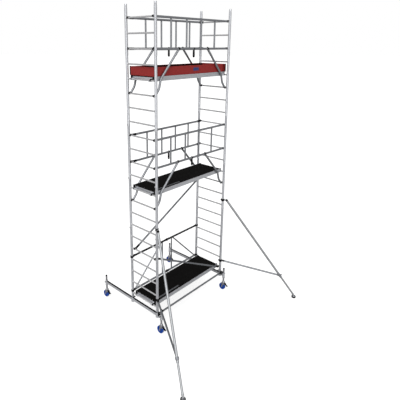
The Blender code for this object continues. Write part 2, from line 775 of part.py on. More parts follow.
def knuckles(sign, solids, cuts):
    """Centre hinge: the left half is slotted down to the pin that the right half's eye turns on."""
    slot = GATE_RADIUS * 0.36
    tall = GATE_RADIUS * 1.4
    wide = KNUCKLE_RADIUS * 1.25
    for z in (GATE_TOP_Z, GATE_LOW_Z):
        eye = slot - FACE_GAP if sign > 0 else tall
        solids.append(bar((0, REAR_Y, z - eye), (0, REAR_Y, z + eye), KNUCKLE_RADIUS, UPRIGHT_SIDES))
        if sign < 0:
            cuts.append(ring((0, REAR_Y, z), KNUCKLE_PIN, wide, slot))
            continue
        bore = clear_of(KNUCKLE_PIN, UPRIGHT_SIDES)
        cuts.append(bar((0, REAR_Y, z - tall), (0, REAR_Y, z + tall), bore, UPRIGHT_SIDES))
        for low, high in ((-2 * tall, -eye), (eye, 2 * tall)):
            cuts.append(block((-wide, REAR_Y - 2 * wide, z + low), (wide, REAR_Y + 2 * wide, z + high)))


def build_gate():
    """Both halves of the gate that joins the base frames at the rear."""
    for side, sign in SIDES:
        gate_half(side, sign)


# ---------------------------------------------------------------- stabilisers
class Stay:
    """Places along one stabiliser, in the upright plane that it leans out in."""

    def __init__(self, sign):
        """Work out the directions and end points; sign is -1 for left, +1 for right."""
        self.x = sign * HALF_LENGTH
        self.out = Vector((sign * math.sin(STAY_ANGLE), -math.cos(STAY_ANGLE), 0))
        self.across = self.out.cross(Vector((0, 0, 1)))
        self.top = self.at(*STAY_TOP)
        self.pivot = self.at(*STAY_FOOT)
        self.slope = (self.pivot - self.top).normalized()

    def at(self, distance, height):
        """Point at a distance out from the upright's centre, at a height."""
        return Vector((self.x, FRONT_Y, height)) + self.out * distance

    def down(self, length):
        """Point on the tube's axis, measured down from its top."""
        return self.top + self.slope * length


def stay_tube(side, stay):
    """Upper clamp and the long outer tube, open at its lower end."""
    upper = stay.at(0, STAY_TOP[1])
    clamp = ring(upper, CLAMP_BORE, CLAMP_BORE + CLAMP_WALL, CLAMP_HALF)
    arm = bar(stay.at(CLAMP_BORE + CLAMP_WALL / 2, STAY_TOP[1]), stay.top, STRUT_RADIUS)
    tube = bar(stay.down(-0.012), stay.down(STAY_TUBE_LENGTH), STAY_RADIUS, STAY_SIDES)
    bore = bar(stay.down(0.03), stay.down(STAY_TUBE_LENGTH + 0.01), STAY_BORE, STAY_SIDES)
    part(f"{side}_stabiliser_tube", "aluminium", [clamp, arm, tube], [bore], origin=(stay.x, FRONT_Y, 0))


def stay_strut(side, stay):
    """Lower clamp and the strut that ties the tube's lower end to the upright."""
    lower = stay.at(0, STRUT_CLAMP_Z)
    clamp = ring(lower, CLAMP_BORE, CLAMP_BORE + CLAMP_WALL, CLAMP_HALF)
    joint = stay.down(STAY_TUBE_LENGTH - STRUT_END)
    half = stay.slope * CLAMP_HALF
    bore = clear_of(STAY_RADIUS, STAY_SIDES)
    hoop = bar(joint - half, joint + half, bore + CLAMP_WALL, STAY_SIDES)
    hole = bar(joint - 2 * half, joint + 2 * half, bore, STAY_SIDES)
    strut = bar(stay.at(CLAMP_BORE + CLAMP_WALL / 2, STRUT_CLAMP_Z), joint, STRUT_RADIUS)
    part(f"{side}_stabiliser_strut", "aluminium", [clamp, hoop, strut], [hole], origin=(stay.x, FRONT_Y, 0))


def stay_extension(side, stay):
    """Inner tube that slides in the outer one, with an eye for the foot."""
    inside = stay.down(STAY_TUBE_LENGTH - EXTENSION_OVERLAP)
    end = stay.pivot - stay.slope * 0.030
    tube = bar(inside, end, EXTENSION_RADIUS, STAY_SIDES)
    ends = (inside - stay.slope * 0.01, end - stay.slope * 0.02)
    bore = bar(*ends, EXTENSION_RADIUS - EXTENSION_WALL, STAY_SIDES)
    side_step = stay.across * EYE_HALF
    eye = bar(stay.pivot - side_step, stay.pivot + side_step, EYE_RADIUS, STAY_SIDES)
    neck = bar(end - stay.slope * 0.01, stay.pivot - stay.slope * 0.006, EYE_HALF * 0.99, RAIL_SIDES)
    eye_bore = clear_of(FOOT_PIN_RADIUS, RAIL_SIDES)
    hole = bar(stay.pivot - 2 * side_step, stay.pivot + 2 * side_step, eye_bore)
    part(f"{side}_stabiliser_extension", "aluminium", [tube, eye, neck], [bore, hole], origin=stay.pivot)


def stay_foot(side, stay):
    """Rubber pad with two ears and the pin that it tilts on."""
    pad = bar((stay.pivot.x, stay.pivot.y, 0), (stay.pivot.x, stay.pivot.y, PAD_THICK), PAD_RADIUS, 16)
    solids = [pad]
    near = EYE_HALF + 0.001
    far = near + EAR_THICK
    for sign in (-1, 1):
        low = stay.pivot + stay.across * (sign * near)
        high = stay.pivot + stay.across * (sign * far)
        solids.append(bar(low, high, EYE_RADIUS, STAY_SIDES))
        centre = (low + high) / 2
        solids.append(bar((centre.x, centre.y, PAD_THICK / 2), centre, EAR_THICK / 2, 4))
    step = stay.across * (near + EAR_THICK / 2)
    solids.append(bar(stay.pivot - step, stay.pivot + step, FOOT_PIN_RADIUS))
    part(f"{side}_stabiliser_foot", "rubber", solids, origin=stay.pivot)


def build_stabilisers():
    """Two stabilisers, splayed out from the front uprights."""
    for side, sign in SIDES:
        stay = Stay(sign)
        stay_tube(side, stay)
        stay_strut(side, stay)
        stay_extension(side, stay)
        stay_foot(side, stay)


def main():
    """Build the whole tower."""
    clear_scene()
    build_frames()
    build_base()
    build_platforms()
    build_toe_boards()
    build_guardrails()
    build_braces()
    build_gate()
    build_stabilisers()


main()
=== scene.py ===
"""Mobile tower scaffold: the looks of every piece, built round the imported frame.

Two ladder ends of stacked sections stand on wheeled traverses. Three hatch platforms, guardrails, toe boards,
braces and a folding gate join them, and two telescopic stabilisers splay out from the front uprights. Each
sub-assembly is a class whose fields are its sizes and whose methods build and dress its pieces.
"""

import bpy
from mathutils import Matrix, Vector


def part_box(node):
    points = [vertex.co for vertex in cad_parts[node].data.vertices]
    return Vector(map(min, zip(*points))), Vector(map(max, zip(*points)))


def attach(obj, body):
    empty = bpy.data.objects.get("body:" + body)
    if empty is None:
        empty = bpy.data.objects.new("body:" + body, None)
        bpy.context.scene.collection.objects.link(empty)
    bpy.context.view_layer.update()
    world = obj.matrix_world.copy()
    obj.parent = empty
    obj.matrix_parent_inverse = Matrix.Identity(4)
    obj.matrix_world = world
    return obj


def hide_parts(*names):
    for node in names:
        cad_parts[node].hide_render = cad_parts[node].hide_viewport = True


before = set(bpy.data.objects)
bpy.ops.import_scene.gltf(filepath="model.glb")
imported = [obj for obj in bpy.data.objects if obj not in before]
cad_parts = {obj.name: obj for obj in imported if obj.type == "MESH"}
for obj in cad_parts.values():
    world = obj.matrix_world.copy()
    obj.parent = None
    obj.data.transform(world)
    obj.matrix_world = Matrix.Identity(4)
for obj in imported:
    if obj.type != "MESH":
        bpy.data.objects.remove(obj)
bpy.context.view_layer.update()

import logging
import math
from dataclasses import dataclass
from enum import Enum

import bmesh
import bpy
from mathutils import Matrix, Vector

LOG = logging.getLogger("tower")
Point = tuple[float, float, float]
Outline = list[tuple[float, float]]
SCUFF_SCALE = (31.0, 23.0, 27.0)
SHARP_ANGLE = 32.0
FIT = 0.0003


# --- finishes
class Grain(Enum):
    """Direction of the drawing lines left in a surface, as noise scales along X, Y and Z."""

    ALONG_X = (1.5, 90.0, 90.0)
    ALONG_Y = (90.0, 1.5, 90.0)
    ALONG_Z = (90.0, 90.0, 1.5)
    EVEN = (60.0, 60.0, 60.0)


@dataclass(frozen=True)
class Finish:
    """One surface finish, made with procedural nodes on Object coordinates.

    Attributes:
        name: plain name of the finish.
        slot: name of a material slot; not used.
        colour: linear base colour.
        shade: how much darker the patchy tone gets, as a share.
        roughness: lowest and highest roughness.
        metallic: metal share.
        relief: depth of the fine relief, in metres.
        coarse: scale of the patchy tone, per metre.
        specular: strength of its mirror reflection.
    """

    name: str
    slot: str
    colour: tuple[float, float, float]
    shade: float
    roughness: tuple[float, float]
    metallic: float
    relief: float
    coarse: float = 6.0
    specular: float = 0.5

    def material(self, grain: Grain = Grain.EVEN) -> bpy.types.Material:
        """Make the material, or find it.

        Args:
            grain: direction of the fine lines.

        Returns:
            The material.
        """
        label = f"{self.name}_{grain.name.lower()}"
        made = bpy.data.materials.get(label)
        if made:
            return made
        made = bpy.data.materials.new(label)
        made.use_nodes = True
        tree = made.node_tree
        shader = tree.nodes["Principled BSDF"]
        shader.inputs["Metallic"].default_value = self.metallic
        shader.inputs["Specular IOR Level"].default_value = self.specular
        place = tree.nodes.new("ShaderNodeTexCoord")
        lines = self._noise(tree, place, grain.value, 4.0)
        patch = self._noise(tree, place, (self.coarse,) * 3, 3.0)
        scuff = self._noise(tree, place, SCUFF_SCALE, 6.0)
        tone = tree.nodes.new("ShaderNodeMix")
        tone.data_type = "RGBA"
        tone.inputs["A"].default_value = (*self.colour, 1)
        tone.inputs["B"].default_value = (*[c * (1 - self.shade) for c in self.colour], 1)
        blend = tree.nodes.new("ShaderNodeMath")
        blend.operation = "MULTIPLY"
        tree.links.new(patch.outputs["Fac"], blend.inputs[0])
        tree.links.new(scuff.outputs["Fac"], blend.inputs[1])
        spread = self._spread(tree, (0.12, 0.42), (0.0, 1.0))
        tree.links.new(blend.outputs[0], spread.inputs["Value"])
        tree.links.new(spread.outputs[0], tone.inputs["Factor"])
        tree.links.new(tone.outputs["Result"], shader.inputs["Base Color"])
        gloss = self._spread(tree, (0.3, 0.7), self.roughness)
        tree.links.new(lines.outputs["Fac"], gloss.inputs["Value"])
        tree.links.new(gloss.outputs[0], shader.inputs["Roughness"])
        bump = tree.nodes.new("ShaderNodeBump")
        bump.inputs["Distance"].default_value = self.relief
        bump.inputs["Strength"].default_value = 0.5
        tree.links.new(lines.outputs["Fac"], bump.inputs["Height"])
        tree.links.new(bump.outputs[0], shader.inputs["Normal"])
        return made

    @staticmethod
    def _spread(
        tree: bpy.types.NodeTree, source: tuple[float, float], target: tuple[float, float]
    ) -> bpy.types.Node:
        """Add a node that maps one range of values onto another.

        Args:
            tree: the material's node tree.
            source: lowest and highest value in.
            target: lowest and highest value out.

        Returns:
            The Map Range node.
        """
        made = tree.nodes.new("ShaderNodeMapRange")
        for label, value in zip(("From Min", "From Max", "To Min", "To Max"), (*source, *target)):
            made.inputs[label].default_value = value
        return made

    @staticmethod
    def _noise(
        tree: bpy.types.NodeTree, place: bpy.types.Node, scale: Point, detail: float
    ) -> bpy.types.Node:
        """Add a stretched noise on Object coordinates.

        Args:
            tree: the material's node tree.
            place: its Texture Coordinate node.
            scale: noise scales along X, Y and Z.
            detail: octaves.

        Returns:
            The noise node.
        """
        stretch = tree.nodes.new("ShaderNodeMapping")
        stretch.inputs["Scale"].default_value = scale
        tree.links.new(place.outputs["Object"], stretch.inputs["Vector"])
        noise = tree.nodes.new("ShaderNodeTexNoise")
        noise.inputs["Scale"].default_value = 1.0
        noise.inputs["Detail"].default_value = detail
        tree.links.new(stretch.outputs[0], noise.inputs["Vector"])
        return noise


ALUMINIUM = Finish("aluminium", "aluminium", (0.66, 0.67, 0.7), 0.12, (0.34, 0.46), 0.86, 0.0003)
# Darker copy of the aluminium for the stabiliser tubes: its lower tone is painted shade.
TUBE_METAL = Finish("tube_metal", "aluminium", (0.42, 0.43, 0.445), 0.16, (0.36, 0.5), 0.88, 0.0003)
RUNG_METAL = Finish("rung_metal", "aluminium", (0.7, 0.7, 0.71), 0.16, (0.36, 0.5), 0.9, 0.0003)
# Darker copy of the aluminium for the guardrails and gate bars: its lower tone is painted shade and dark
# reflection.
RAIL_METAL = Finish("rail_metal", "rail_aluminium", (0.33, 0.34, 0.36), 0.18, (0.34, 0.48), 0.88, 0.0003)
# Near-black copy of the rail aluminium, used on the gate's top rails: painted dark reflection.
DARK_REFLECTION_RAIL = Finish(
    "dark_reflection_rail", "rail_aluminium", (0.006, 0.006, 0.007), 0.3, (0.45, 0.6), 0.0, 0.0002, 6.0, 0.3
)
# Darker copy of the aluminium for the braces, stabiliser struts and hatch hinges: its lower tone is painted
# shade.
STRUT_METAL = Finish("strut_metal", "aluminium", (0.27, 0.28, 0.3), 0.18, (0.34, 0.48), 0.88, 0.0003)
ZINC = Finish("zinc_steel", "zinc_steel", (0.42, 0.42, 0.44), 0.22, (0.3, 0.46), 0.92, 0.0002, 22.0)
BOLT_STEEL = Finish("bolt_steel", "zinc_steel", (0.36, 0.36, 0.37), 0.25, (0.28, 0.45), 1.0, 0.0002, 60.0)
BLACK_PLASTIC = Finish(
    "black_plastic", "black_plastic", (0.003, 0.003, 0.0034), 0.3, (0.5, 0.66), 0.0, 0.0002, 40.0, 0.12
)
DECK_FILM = Finish(
    "deck_film", "deck_black", (0.003, 0.0026, 0.0024), 0.35, (0.7, 0.88), 0.0, 0.0004, 9.0, 0.12
)
RED_PAINT = Finish(
    "red_paint", "toe_board_red", (0.29, 0.022, 0.02), 0.18, (0.48, 0.62), 0.0, 0.0003, 14.0, 0.25
)
WHEEL_BLUE = Finish(
    "wheel_blue", "wheel_blue", (0.004, 0.058, 0.34), 0.22, (0.38, 0.5), 0.0, 0.0002, 50.0, 0.3
)
PLATE_BLUE = Finish(
    "plate_blue", "toe_board_red", (0.03, 0.046, 0.16), 0.1, (0.4, 0.5), 0.0, 0.0001, 40.0, 0.3
)
# Near-black red for a thin sheet on the rear toe board's inner face: painted shade on that face.
BOARD_SHADE = Finish(
    "board_lining", "toe_board_red", (0.016, 0.0035, 0.0035), 0.3, (0.6, 0.75), 0.0, 0.0002, 20.0, 0.1
)
RUBBER = Finish("rubber", "rubber", (0.01, 0.01, 0.011), 0.3, (0.66, 0.84), 0.0, 0.0004, 45.0, 0.25)


# --- shapes
def offset_in(outline: Outline, distance: float) -> Outline:
    """Move each side of an outline inwards.

    Args:
        outline: points in order round the outline.
        distance: how far each side moves.

    Returns:
        The smaller outline.
    """
    area = sum(a[0] * b[1] - b[0] * a[1] for a, b in zip(outline, outline[1:] + outline[:1]))
    turn = 1 if area > 0 else -1
    made = []
    for i, here in enumerate(outline):
        before = Vector(here) - Vector(outline[i - 1])
        after = Vector(outline[(i + 1) % len(outline)]) - Vector(here)
        a = Vector((-before.y, before.x)).normalized() * turn
        b = Vector((-after.y, after.x)).normalized() * turn
        lean = max(0.35, 1 + a.dot(b))
        step = (a + b) * (distance / lean)
        made.append((here[0] + step.x, here[1] + step.y))
    return made


def rounded(width: float, height: float, radius: float, steps: int = 3) -> Outline:
    """Outline of a rectangle with round corners, centred on the origin.

    Args:
        width: size along the first axis.
        height: size along the second axis.
        radius: corner radius.
        steps: segments in each corner.

    Returns:
        The outline's points.
    """
    made = []
    for quarter, (sx, sy) in enumerate(((1, 1), (-1, 1), (-1, -1), (1, -1))):
        for i in range(steps + 1):
            angle = math.pi / 2 * (quarter + i / steps)
            x = sx * (width / 2 - radius) + radius * math.cos(angle)
            y = sy * (height / 2 - radius) + radius * math.sin(angle)
            made.append((x, y))
    return made


def arc(centre: tuple[float, float], radius: float, start: float, end: float, steps: int) -> Outline:
    """Points of an arc, its ends included.

    Args:
        centre: the arc's centre.
        radius: its radius.
        start: first angle, in degrees.
        end: last angle, in degrees.
        steps: number of segments.

    Returns:
        The arc's points.
    """
    angles = [math.radians(start + (end - start) * i / steps) for i in range(steps + 1)]
    return [(centre[0] + radius * math.cos(a), centre[1] + radius * math.sin(a)) for a in angles]


def aim(start: Point, end: Point) -> Matrix:
    """Matrix that puts the origin at start and +Z towards end."""
    turn = (Vector(end) - Vector(start)).to_track_quat("Z", "Y").to_matrix().to_4x4()
    return Matrix.Translation(start) @ turn


TURN_X = Matrix.Rotation(math.pi / 2, 4, "Y")  # +Z of a shape becomes +X
TURN_Y = Matrix.Rotation(-math.pi / 2, 4, "X")  # +Z of a shape becomes +Y


def section_across(x: float, y: float, z: float) -> Matrix:
    """Matrix for a section given as (x, z) and drawn out along +Y from a point."""
    return Matrix(((1, 0, 0, x), (0, 0, 1, y), (0, 1, 0, z), (0, 0, 0, 1)))


def section_along(x: float, y: float, z: float) -> Matrix:
    """Matrix for a section given as (y, z) and drawn out along +X from a point."""
    return Matrix(((0, 0, 1, x), (1, 0, 0, y), (0, 1, 0, z), (0, 0, 0, 1)))


class Shape:
    """Collects the faces of one piece, then makes its object."""

    def __init__(self) -> None:
        """Start empty."""
        self.points: list[Vector] = []
        self.faces: list[tuple[int, ...]] = []

    def loft(self, rings: list[list[Vector]], loop: bool = False) -> None:
        """Skin a row of rings of equal count, or single points at its ends.

        Args:
            rings: the rings in order.
            loop: joins the last ring to the first instead of closing both ends.
        """
        starts = []
        for ring in rings:
            starts.append((len(self.points), len(ring)))
            self.points.extend(ring)
        pairs = list(zip(starts, starts[1:]))
        if loop:
            pairs.append((starts[-1], starts[0]))
        for (a, na), (b, nb) in pairs:
            for i in range(max(na, nb)):
                j = (i + 1) % max(na, nb)
                if na == 1:
                    self.faces.append((a, b + j, b + i))
                elif nb == 1:
                    self.faces.append((a + i, a + j, b))
                else:
                    self.faces.append((a + i, a + j, b + j, b + i))
        if not loop:
            for start, count in (starts[0], starts[-1]):
                if count > 2:
                    self.faces.append(tuple(range(start, start + count)))

    def lathe(self, profile: Outline, place: Matrix, sides: int = 24, loop: bool = False) -> None:
        """Turn a profile of (radius, height) points round Z.

        Args:
            profile: the points; a zero radius makes a single point.
            place: where the turned shape goes.
            sides: facets round it.
            loop: closes the profile on itself, for a hollow ring.
        """
        rings = []
        for radius, height in profile:
            if radius == 0.0:
                rings.append([place @ Vector((0, 0, height))])
                continue
            angles = [2 * math.pi * i / sides for i in range(sides)]
            rings.append([
                place @ Vector((radius * math.cos(a), radius * math.sin(a), height)) for a in angles
            ])
        self.loft(rings, loop)

    def pipe(
        self, start: Point, end: Point, outer: float, inner: float = 0.0, sides: int = 24,
        edge: float = 0.0008
    ) -> None:
        """Straight tube or rod between two points, with eased ends.

        Args:
            start: centre of one end.
            end: centre of the other.
            outer: outside radius.
            inner: inside radius, or zero for a rod.
            sides: facets round it.
            edge: how far the rims are eased.
        """
        length = (Vector(end) - Vector(start)).length
        profile = [(outer - edge, 0), (outer, edge), (outer, length - edge), (outer - edge, length)]
        if inner:
            profile = [(inner, 0), *profile, (inner, length)]
        self.lathe(profile, aim(start, end), sides, loop=bool(inner))

    def band(
        self, start: Point, towards: Point, radius: float, wall: float, length: float, sides: int,
        ease: float = 0.001
    ) -> None:
        """Plain collar round a tube, with eased rims.

        Args:
            start: the tube's centre at one end of the collar.
            towards: a point further along the tube.
            radius: the tube's radius.
            wall: how far the collar stands out from the tube.
            length: the collar's length.
            sides: facets round it.
            ease: how far the rims are eased.
        """
        profile = [
            (radius + FIT, 0), (radius + wall, ease), (radius + wall, length - ease), (radius + FIT, length)
        ]
        self.lathe(profile, aim(start, towards), sides, loop=True)

    def prism(self, outline: Outline, place: Matrix, length: float, edge: float = 0.0) -> None:
        """Draw an outline out along +Z of a place.

        Args:
            outline: the section's points.
            place: where the section starts.
            length: how far it is drawn.
            edge: how far both end rims are eased.
        """
        steps = [(0.0, outline), (length, outline)]
        if edge:
            small = offset_in(outline, edge)
            steps = [(0.0, small), (edge, outline), (length - edge, outline), (length, small)]
        self.loft([[place @ Vector((x, y, z)) for x, y in ring] for z, ring in steps])

    def slab(self, low: Point, high: Point, corner: float = 0.002, edge: float = 0.001) -> None:
        """Upright block with round corners and eased rims.

        Args:
            low: lowest corner.
            high: highest corner.
            corner: radius of its upright edges.
            edge: how far its other edges are eased.
        """
        size = [b - a for a, b in zip(low, high)]
        centre = [(a + b) / 2 for a, b in zip(low, high)]
        place = Matrix.Translation((centre[0], centre[1], low[2]))
        self.prism(rounded(size[0], size[1], corner), place, size[2], edge)

    def take(self, mesh: bpy.types.Mesh) -> None:
        """Add another mesh's faces and remove that mesh.

        Args:
            mesh: the other mesh.
        """
        start = len(self.points)
        self.points.extend(v.co.copy() for v in mesh.vertices)
        self.faces.extend(tuple(start + i for i in p.vertices) for p in mesh.polygons)
        bpy.data.meshes.remove(mesh)

    def mesh(self, name: str) -> bpy.types.Mesh:
        """Turn the faces into a mesh whose shells face outwards.

        Args:
            name: the mesh's name.

        Returns:
            The mesh.
        """
        made = bpy.data.meshes.new(name)
        made.from_pydata(self.points, [], self.faces)
        shell = bmesh.new()
        shell.from_mesh(made)
        bmesh.ops.recalc_face_normals(shell, faces=shell.faces)
        shell.to_mesh(made)
        shell.free()
        made.shade_smooth()
        made.set_sharp_from_angle(angle=math.radians(SHARP_ANGLE))
        return made

    def piece(
        self, name: str, finish: Finish, body: str, nodes: tuple[str, ...] = (), grain: Grain = Grain.EVEN
    ) -> bpy.types.Object:
        """Make the finished piece and fasten it to its body.

        Args:
            name: the piece's name.
            finish: its surface.
            body: the frame's body that it moves with.
            nodes: the frame's nodes that it stands for.
            grain: direction of its fine lines.

        Returns:
            The piece's object.
        """
        made = bpy.data.objects.new(name, self.mesh(name))
        bpy.context.scene.collection.objects.link(made)
        made.data.materials.append(finish.material(grain))
        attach(made, body)
        if nodes:
            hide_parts(*nodes)
        LOG.info("%s: %d faces on %s", name, len(made.data.polygons), body)
        return made


# --- node trees
class Tree:
    """A Geometry Nodes tree with named inputs, run on a scratch object."""

    def __init__(self, name: str, inputs: dict[str, str]) -> None:
        """Make an empty tree.

        Args:
            name: the tree's name.
            inputs: socket type for each named input.
        """
        self.tree = bpy.data.node_groups.new(name, "GeometryNodeTree")
        face = self.tree.interface
        face.new_socket(name="Geometry", in_out="INPUT", socket_type="NodeSocketGeometry")
        self.sockets = {}
        for label, kind in inputs.items():
            made = face.new_socket(name=label, in_out="INPUT", socket_type=f"NodeSocket{kind}")
            self.sockets[label] = made.identifier
        face.new_socket(name="Geometry", in_out="OUTPUT", socket_type="NodeSocketGeometry")
        self.start = self.node("NodeGroupInput")

    def node(self, kind: str, **values: object) -> bpy.types.Node:
        """Add a node and set its properties.

        Args:
            kind: the node's type.
            values: its properties.

        Returns:
            The node.
        """
        made = self.tree.nodes.new(kind)
        for label, value in values.items():
            setattr(made, label, value)
        return made

    def join(self, source: bpy.types.NodeSocket, target: bpy.types.NodeSocket) -> None:
        """Link two sockets."""
        self.tree.links.new(source, target)

    def close(self, geometry: bpy.types.NodeSocket) -> None:
        """End the tree in Realize Instances and Set Material.

        Args:
            geometry: the socket that gives the finished geometry.
        """
        real = self.node("GeometryNodeRealizeInstances")
        coat = self.node("GeometryNodeSetMaterial")
        self.join(geometry, real.inputs[0])
        self.join(real.outputs[0], coat.inputs["Geometry"])
        self.join(self.start.outputs["Finish"], coat.inputs["Material"])
        self.join(coat.outputs[0], self.node("NodeGroupOutput").inputs[0])

    def run(self, base: bpy.types.Mesh, **values: object) -> bpy.types.Mesh:
        """Run the tree on a mesh.

        Args:
            base: the mesh that the tree starts from; it is removed.
            values: a value for each named input, with spaces as underscores.

        Returns:
            The result as a plain mesh.
        """
        holder = bpy.data.objects.new("scratch", base)
        bpy.context.scene.collection.objects.link(holder)
        step = holder.modifiers.new("tree", "NODES")
        step.node_group = self.tree
        for label, value in values.items():
            step[self.sockets[label.replace("_", " ")]] = value
        graph = bpy.context.evaluated_depsgraph_get()
        graph.update()
        made = bpy.data.meshes.new_from_object(holder.evaluated_get(graph))
        bpy.data.objects.remove(holder, do_unlink=True)
        bpy.data.meshes.remove(base)
        return made


def row_tree() -> Tree:
    """Tree that repeats a unit at even steps along a line.

    Returns:
        The tree.
    """
    made = Tree(
        "even_row",
        {"Unit": "Object", "Count": "Int", "Start": "Vector", "Step": "Vector", "Finish": "Material"}
    )
    line = made.node("GeometryNodeMeshLine", mode="OFFSET")
    unit = made.node("GeometryNodeObjectInfo")
    spread = made.node("GeometryNodeInstanceOnPoints")
    made.join(made.start.outputs["Count"], line.inputs["Count"])
    made.join(made.start.outputs["Start"], line.inputs["Start Location"])
    made.join(made.start.outputs["Step"], line.inputs["Offset"])
    made.join(made.start.outputs["Unit"], unit.inputs["Object"])
    made.join(line.outputs[0], spread.inputs["Points"])
    made.join(unit.outputs["Geometry"], spread.inputs["Instance"])
    made.close(spread.outputs[0])
    return made


def scatter_tree() -> Tree:
    """Tree that puts a unit on each point, with its +Z along the point's facing.

    Returns:
        The tree.
    """
    made = Tree("set_on_points", {"Unit": "Object", "Size": "Float", "Finish": "Material"})
    unit = made.node("GeometryNodeObjectInfo")
    facing = made.node("GeometryNodeInputNamedAttribute", data_type="FLOAT_VECTOR")
    facing.inputs["Name"].default_value = "facing"
    turn = made.node("FunctionNodeAlignRotationToVector", axis="Z")
    spread = made.node("GeometryNodeInstanceOnPoints")
    made.join(made.start.outputs["Geometry"], spread.inputs["Points"])
    made.join(made.start.outputs["Unit"], unit.inputs["Object"])
    made.join(facing.outputs["Attribute"], turn.inputs["Vector"])
    made.join(turn.outputs[0], spread.inputs["Rotation"])
    made.join(made.start.outputs["Size"], spread.inputs["Scale"])
    made.join(unit.outputs["Geometry"], spread.inputs["Instance"])
    made.close(spread.outputs[0])
    return made


def sweep_tree() -> Tree:
    """Tree that draws a round bar along a path and rounds its bends.

    Returns:
        The tree.
    """
    made = Tree("bent_bar", {"Radius": "Float", "Bend": "Float", "Sides": "Int", "Finish": "Material"})
    path = made.node("GeometryNodeMeshToCurve")
    bend = made.node("GeometryNodeFilletCurve")
    if "Count" in bend.inputs:
        bend.inputs["Count"].default_value = 8
    if hasattr(bend, "mode"):
        bend.mode = "POLY"
    if "Limit Radius" in bend.inputs:
        bend.inputs["Limit Radius"].default_value = True
    section = made.node("GeometryNodeCurvePrimitiveCircle", mode="RADIUS")
    skin = made.node("GeometryNodeCurveToMesh")
    skin.inputs["Fill Caps"].default_value = True
    made.join(made.start.outputs["Geometry"], path.inputs[0])
    made.join(path.outputs[0], bend.inputs["Curve"])
    made.join(made.start.outputs["Bend"], bend.inputs["Radius"])
    made.join(made.start.outputs["Radius"], section.inputs["Radius"])
    made.join(made.start.outputs["Sides"], section.inputs["Resolution"])
    made.join(bend.outputs[0], skin.inputs["Curve"])
    made.join(section.outputs[0], skin.inputs["Profile Curve"])
    made.close(skin.outputs[0])
    return made


ROW = row_tree()
SCATTER = scatter_tree()
SWEEP = sweep_tree()


def repeat(unit: Shape, count: int, start: Point, step: Point, finish: Finish) -> bpy.types.Mesh:
    """Repeat a unit at even steps.

    Args:
        unit: the shape to repeat, built round the origin.
        count: how many.
        start: place of the first.
        step: from one to the next.
        finish: surface of the copies.

    Returns:
        The row as one mesh.
    """
    item = bpy.data.objects.new("unit", unit.mesh("unit"))
    base = bpy.data.meshes.new("scratch")
    made = ROW.run(base, Unit=item, Count=count, Start=start, Step=step, Finish=finish.material())
    bpy.data.objects.remove(item, do_unlink=True)
    return made


def scatter(unit: Shape, places: list[tuple[Point, Point]], size: float, finish: Finish) -> bpy.types.Mesh:
    """Put a unit on each of several places.

    Args:
        unit: the shape to copy, built round the origin with +Z outwards.
        places: a point and a facing for each copy.
        size: scale of the copies.
        finish: their surface.

    Returns:
        All copies as one mesh.
    """
    item = bpy.data.objects.new("unit", unit.mesh("unit"))
    base = bpy.data.meshes.new("scratch")
    base.from_pydata([Vector(p) for p, _ in places], [], [])
    facing = base.attributes.new("facing", "FLOAT_VECTOR", "POINT")
    facing.data.foreach_set("vector", [float(v) for _, way in places for v in Vector(way).normalized()])
    made = SCATTER.run(base, Unit=item, Size=size, Finish=finish.material())
    bpy.data.objects.remove(item, do_unlink=True)
    return made


def bent(points: list[Point], radius: float, bend: float = 0.03, sides: int = 20) -> bpy.types.Mesh:
    """Round bar along a path.

    Args:
        points: the path's corners.
        radius: the bar's radius.
        bend: radius of its bends.
        sides: facets round it.

    Returns:
        The bar as a mesh.
    """
    base = bpy.data.meshes.new("scratch")
    base.from_pydata([Vector(p) for p in points], [(i, i + 1) for i in range(len(points) - 1)], [])
    return SWEEP.run(base, Radius=radius, Bend=bend, Sides=sides, Finish=ALUMINIUM.material())


# --- small hardware
def rivet_head() -> Shape:
    """Domed rivet head of one unit's radius.

    Returns:
        The shape, round the origin with +Z outwards.
    """
    made = Shape()
    made.lathe([(1.0, -0.3), (1.0, 0.15), (0.82, 0.42), (0.45, 0.58), (0.0, 0.62)], Matrix.Identity(4), 12)
    return made


def bolt_head() -> Shape:
    """Hexagon head on a washer, of one unit's radius.

    Returns:
        The shape, round the origin with +Z outwards.
    """
    made = Shape()
    made.lathe([(1.25, -0.2), (1.25, 0.16), (1.1, 0.2)], Matrix.Identity(4), 18)
    made.lathe([(0.98, 0.18), (1.0, 0.3), (1.0, 0.85), (0.86, 1.0)], Matrix.Identity(4), 6)
    return made


def weld_bead(inner: float, size: float) -> Shape:
    """Ring of weld round a tube.

    Args:
        inner: the tube's radius.
        size: the bead's size.

    Returns:
        The shape, round the origin.
    """
    sunk = inner - 0.001
    profile = [(sunk, -size * 0.2), (inner + size, 0.0), (inner + size * 0.6, size * 0.7), (sunk, size * 1.3)]
    made = Shape()
    made.lathe(profile, Matrix.Identity(4), 18, loop=True)
    return made


def hole_rim(sides: int) -> Shape:
    """Raised rim round a drilled hole with its dark bottom, of one unit's radius.

    Args:
        sides: facets round it.

    Returns:
        The shape, round the origin with +Z outwards.
    """
    made = Shape()
    rim = [(0.55, -0.4), (1.0, -0.4), (1.0, 0.1), (0.72, 0.14), (0.55, 0.1)]
    made.lathe(rim, Matrix.Identity(4), sides, loop=True)
    made.lathe([(0.6, -0.4), (0.6, -0.1), (0.0, -0.1)], Matrix.Identity(4), sides)
    return made


def claw_outline(seat: float, thick: float, reach: float) -> Outline:
    """Section of a claw that opens downwards over a rung; its arm points to -X.

    Args:
        seat: inside radius.
        thick: wall of the claw.
        reach: how far its arm goes back from the rung's centre.

    Returns:
        The outline's points, as (along the tower, height).
    """
    inner = arc((0, 0), seat, -38, 180, 12)
    outer = arc((0, 0), seat + thick, 78, -30, 7)
    arm = [
        (-seat, -seat * 0.9), (-reach, -seat * 0.9), (-reach, seat + thick * 0.7),
        (-reach * 0.62, seat + thick)
    ]
    return [*inner, *arm, *outer]


